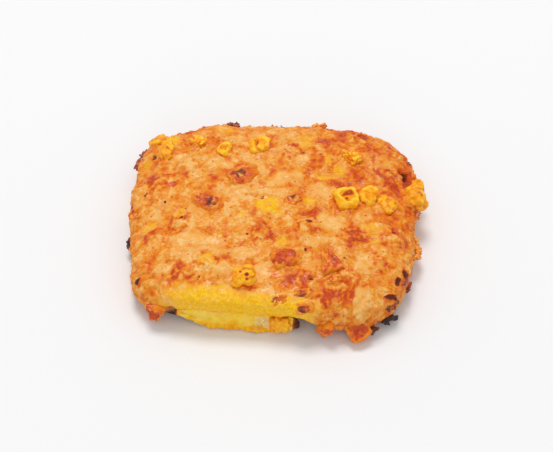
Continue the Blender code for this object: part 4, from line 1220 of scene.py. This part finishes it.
def makeLaceTree():  # fuses loose lumps into one crust and roughens it
    tree = bpy.data.node_groups.new("crispLace", "GeometryNodeTree")
    addSocket(tree, "Geometry", "INPUT", "Geometry")
    for title in ("Voxel Size", "Crag Depth", "Crag Scale", "Seed"):
        addSocket(tree, title, "INPUT", "Float")
    addSocket(tree, "Geometry", "OUTPUT", "Geometry")
    start, end = tree.nodes.new("NodeGroupInput"), tree.nodes.new("NodeGroupOutput")
    inputs = start.outputs
    volume = put(
        tree, "GeometryNodeMeshToVolume",
        {"Mesh": inputs["Geometry"], "Voxel Size": inputs["Voxel Size"], "Interior Band Width": 0.002},
        resolution_mode="VOXEL_SIZE",
    )
    crust = put(tree, "GeometryNodeVolumeToMesh", {"Volume": volume.outputs[0], "Threshold": 0.1})
    crags = put(
        tree, "ShaderNodeTexNoise",
        {"W": inputs["Seed"], "Scale": inputs["Crag Scale"], "Detail": 3.0, "Roughness": 0.7},
        noise_dimensions="4D",
    )
    push = sums(tree, "MULTIPLY", sums(tree, "SUBTRACT", crags.outputs["Fac"], 0.5), inputs["Crag Depth"])
    normal = put(tree, "GeometryNodeInputNormal").outputs[0]
    offset = put(tree, "ShaderNodeVectorMath", {0: normal, "Scale": push}, operation="SCALE").outputs[0]
    moved = put(tree, "GeometryNodeSetPosition", {"Geometry": crust.outputs[0], "Offset": offset})
    shaded = put(tree, "GeometryNodeSetShadeSmooth", {0: moved.outputs[0]})
    whole = put(tree, "GeometryNodeRealizeInstances", {0: shaded.outputs[0]})
    dressed = put(tree, "GeometryNodeSetMaterial", {0: whole.outputs[0], "Material": crispCheese})
    tree.links.new(dressed.outputs[0], end.inputs[0])
    return tree


def grow(source, tree, values, name):  # runs a node tree on an object and keeps the plain mesh
    modifier = source.modifiers.new("grow", "NODES")
    modifier.node_group = tree
    for item in tree.interface.items_tree:
        if item.item_type == "SOCKET" and item.in_out == "INPUT" and item.name in values:
            modifier[item.identifier] = values[item.name]
    graph = bpy.context.evaluated_depsgraph_get()
    mesh = bpy.data.meshes.new_from_object(source.evaluated_get(graph))
    source.modifiers.remove(modifier)
    mesh.name = name
    grown = bpy.data.objects.new(name, mesh)
    bpy.context.scene.collection.objects.link(grown)
    return grown


def laceLumps(row, rng):  # the solid's crags, with small beads broken off round them
    middle, reach, standOut, count, lump, ringed, _ = row
    place, normal, _, _ = skin.find_nearest(Vector(middle) + Vector(shift))
    outward = Vector((normal.x, normal.y, 0)).normalized()
    along = Vector((-outward.y, outward.x, 0))
    home = Vector((place.x, place.y, middle[2]))
    shape = bmesh.new()
    homes = []
    for index in range(count):
        if ringed:
            turn = 2 * math.pi * index / count
            side, out = reach * math.cos(turn), standOut * (1 + math.sin(turn)) * 0.8
        else:
            share = index / (count - 1)
            side = reach * (2 * share - 1)
            out = standOut * rng.uniform(0.1, 1) * math.sin(math.pi * (0.15 + 0.7 * share))
        spot = home + along * side + outward * out
        spot.z += rng.uniform(-0.9, 0.9)
        radius = lump * rng.uniform(0.75, 1.1)
        spot.z = max(spot.z, 1.4 * radius)
        crag = bmesh.ops.create_icosphere(shape, subdivisions=1, radius=radius)["verts"]
        for vertex in crag:
            vertex.co *= rng.uniform(0.72, 1.25)
            vertex.co.z *= 0.8
            vertex.co += spot
        homes.append((spot, radius))
    beads = random.Random(count * 31 + int(reach * 10))
    for spot, radius in homes:
        for _ in range(lace["beads"]):
            way = Vector((beads.gauss(0, 1), beads.gauss(0, 1), beads.gauss(0, 0.7))).normalized()
            way = (way + outward * 0.5).normalized()
            size = beads.uniform(*lace["beadRadius"])
            place = spot + way * (radius * beads.uniform(0.75, 1.2))
            place.z = max(place.z, size)
            bead = bmesh.ops.create_icosphere(shape, subdivisions=1, radius=size)["verts"]
            bmesh.ops.translate(shape, vec=place, verts=bead)
    mesh = bpy.data.meshes.new("lumps")
    bmesh.ops.scale(shape, vec=(mm, mm, mm), verts=shape.verts)
    shape.to_mesh(mesh)
    shape.free()
    lumps = bpy.data.objects.new("lumps", mesh)
    bpy.context.scene.collection.objects.link(lumps)
    return lumps, home, outward


laceTree = makeLaceTree()
laceRng = random.Random(lace["seed"])
laceValues = {
    "Voxel Size": lace["voxel"] * mm,
    "Crag Depth": lace["cragDepth"] * 2 * mm,
    "Crag Scale": 1 / (lace["cragSize"] * mm),
}
for number, (name, row) in enumerate(lace["rows"].items()):
    lumps, home, outward = laceLumps(row, laceRng)
    crust = grow(lumps, laceTree, {**laceValues, "Seed": float(number)}, name)
    bpy.data.objects.remove(lumps)
    points = meshPoints(crust.data)
    points[:, 2] = np.maximum(points[:, 2], 0.05)
    setPoints(crust.data, points)
    out = (points - np.array(home)) @ np.array(outward)
    burnt = row[6] * (0.55 + 0.5 * smooth(-1.5, 1.6, out)) + 0.3 * noiseAt(points, 1.8, number)
    burnt += 0.1 * (1 - smooth(1, 4, points[:, 2]))
    paint(crust.data, "crust", burnt)
    standIn(crust, "cheese", "cheese_blanket")
print("lace crisped:", len(lace["rows"]), "pieces")

# Baked flecks scattered over the cheese.
flecks = {
    "perSquareMillimetre": 0.004,
    "size": (0.16, 0.36),
    "flatness": 0.4,
    "seed": 6,
    "colours": [(0.0, (214, 84, 26)), (0.6, (182, 58, 26)), (1.0, (116, 42, 26))],
    "grainScale": 420.0,
    "grainDepth": 0.08,
    "coat": {"Coat Weight": 0.2, "Coat Roughness": 0.2},
}


def makeFleckLook():
    material, tree, shader = newMaterial("bakedFleck", flecks["coat"])
    grain = grainNodes(tree, flecks["grainScale"])
    colour = colourRamp(tree, spread(tree, grain["Cloud"], 0.3, 0.7), flecks["colours"])
    roughness = sums(tree, "MULTIPLY_ADD", grain["Fine"], 0.3, 0.32)
    finishLook(tree, shader, colour, roughness, grain["Height"], flecks["grainDepth"])
    return material


def randomBetween(tree, lowest, highest, seed):
    inputs = {2: lowest, 3: highest, "Seed": seed}
    return put(tree, "FunctionNodeRandomValue", inputs, data_type="FLOAT").outputs[1]


def makeFleckTree():  # scatters flat baked flecks over a surface, by its own density attribute
    tree = bpy.data.node_groups.new("scatteredFlecks", "GeometryNodeTree")
    addSocket(tree, "Geometry", "INPUT", "Geometry")
    for title in ("Density", "Smallest", "Largest", "Flatness"):
        addSocket(tree, title, "INPUT", "Float")
    addSocket(tree, "Seed", "INPUT", "Int")
    addSocket(tree, "Geometry", "OUTPUT", "Geometry")
    start, end = tree.nodes.new("NodeGroupInput"), tree.nodes.new("NodeGroupOutput")
    inputs = start.outputs
    share = put(tree, "GeometryNodeInputNamedAttribute", {"Name": "fleckShare"}, data_type="FLOAT")
    density = sums(tree, "MULTIPLY", share.outputs["Attribute"], inputs["Density"])
    spots = put(
        tree, "GeometryNodeDistributePointsOnFaces",
        {"Mesh": inputs["Geometry"], "Density": density, "Seed": inputs["Seed"]},
    )
    ball = put(tree, "GeometryNodeMeshIcoSphere", {"Radius": 1.0, "Subdivisions": 2})
    jag = put(tree, "ShaderNodeTexNoise", {"Scale": 1.4, "Detail": 2.0})
    jagSize = sums(tree, "MULTIPLY_ADD", jag.outputs["Fac"], 1.6, 0.2)
    where = put(tree, "GeometryNodeInputPosition").outputs[0]
    jagged = put(tree, "ShaderNodeVectorMath", {0: where, "Scale": jagSize}, operation="SCALE").outputs[0]
    chip = put(tree, "GeometryNodeSetPosition", {"Geometry": ball.outputs[0], "Position": jagged})
    size = randomBetween(tree, inputs["Smallest"], inputs["Largest"], inputs["Seed"])
    longer = sums(tree, "MULTIPLY", size, randomBetween(tree, 0.8, 2.2, 8))
    thin = sums(tree, "MULTIPLY", size, inputs["Flatness"])
    scale = put(tree, "ShaderNodeCombineXYZ", {0: longer, 1: size, 2: thin}).outputs[0]
    spin = randomBetween(tree, 0.0, 6.28, 9)
    turned = put(tree, "FunctionNodeRotateRotation", {0: spots.outputs["Rotation"]}, rotation_space="LOCAL")
    spinTurn = put(tree, "FunctionNodeAxisAngleToRotation", {"Axis": (0, 0, 1), "Angle": spin})
    tree.links.new(spinTurn.outputs[0], turned.inputs[1])
    placed = put(
        tree, "GeometryNodeInstanceOnPoints",
        {"Points": spots.outputs[0], "Instance": chip.outputs[0], "Scale": scale},
    )
    tree.links.new(turned.outputs[0], placed.inputs["Rotation"])
    whole = put(tree, "GeometryNodeRealizeInstances", {0: placed.outputs[0]})
    shaded = put(tree, "GeometryNodeSetShadeSmooth", {0: whole.outputs[0]})
    dressed = put(tree, "GeometryNodeSetMaterial", {0: shaded.outputs[0], "Material": makeFleckLook()})
    tree.links.new(dressed.outputs[0], end.inputs[0])
    return tree


fleckShare = fleckShare * smooth(0.9, 1, outside) * smooth(3, 6, skinPoints[:, 2])
layer = cheeseBlanket.data.attributes.new("fleckShare", "FLOAT", "POINT")
layer.data.foreach_set("value", fleckShare.astype(np.float32))
fleckValues = {
    "Density": flecks["perSquareMillimetre"] / mm**2,
    "Smallest": flecks["size"][0] * mm,
    "Largest": flecks["size"][1] * mm,
    "Flatness": flecks["flatness"],
    "Seed": flecks["seed"],
}
bakedFlecks = grow(cheeseBlanket, makeFleckTree(), fleckValues, "bakedFlecks")
standIn(bakedFlecks, "cheese")
print("flecks scattered:", len(bakedFlecks.data.polygons), "faces")

# Floor, light and camera, in metres and degrees. The floor's half-size and the lens are in
# millimetres.
studio = {
    "floor": (239, 239, 239),
    "floorHalf": 3000.0,
    "skyStrength": 0.66,
    "sky": (254, 254, 255),
    "lamps": {  # place, watts, size
        "keyLight": ((-0.2, 1.15, 2.9), 45.0, 1.0),
        "fillLight": ((0.1, -2.6, 0.9), 7.5, 1.4),
    },
    "target": (0.0002, -0.0010, 0.010),
    "distance": 0.510,
    "elevation": 50.0,
    "lens": 84.66,
    "sensor": 36.0,
}


def makeStudio():
    material, tree, shader = newMaterial("studioFloor", {"Roughness": 0.9, "Specular IOR Level": 0.1})
    where = put(tree, "ShaderNodeTexCoord").outputs["Object"]
    cloth = put(tree, "ShaderNodeTexNoise", {"Vector": where, "Scale": 900.0, "Detail": 2.0})
    darker = tint(*(channel - 1 for channel in studio["floor"]))
    lighter = tint(*(channel + 1 for channel in studio["floor"]))
    colour = blend(tree, cloth.outputs["Fac"], darker, lighter)
    tree.links.new(colour, shader.inputs["Base Color"])
    half = studio["floorHalf"]
    corners = [(-half, -half, 0), (half, -half, 0), (half, half, 0), (-half, half, 0)]
    floor = meshObject("floor", corners, [(0, 1, 2, 3)], material)
    world = bpy.data.worlds.new("studioSky")
    world.use_nodes = True
    world.node_tree.nodes["Background"].inputs["Color"].default_value = tint(*studio["sky"])
    world.node_tree.nodes["Background"].inputs["Strength"].default_value = studio["skyStrength"]
    bpy.context.scene.world = world
    for name, (place, power, size) in studio["lamps"].items():
        lamp = bpy.data.lights.new(name, "AREA")
        lamp.energy, lamp.size = power, size
        lampBody = bpy.data.objects.new(name, lamp)
        lampBody.location = place
        lampBody.rotation_euler = (Vector((0, 0, 0)) - Vector(place)).to_track_quat("-Z", "Y").to_euler()
        bpy.context.scene.collection.objects.link(lampBody)


def makeCamera():
    lensBody = bpy.data.cameras.new("camera")
    lensBody.lens, lensBody.sensor_width = studio["lens"], studio["sensor"]
    camera = bpy.data.objects.new("camera", lensBody)
    tilt = math.radians(studio["elevation"])
    back = Vector((0, -math.cos(tilt), math.sin(tilt))) * studio["distance"]
    camera.location = Vector(studio["target"]) + back
    camera.rotation_euler = (math.radians(90) - tilt, 0, 0)
    bpy.context.scene.collection.objects.link(camera)
    bpy.context.scene.camera = camera


makeStudio()
makeCamera()
bpy.context.scene.view_settings.view_transform = "Standard"
print("studio set")
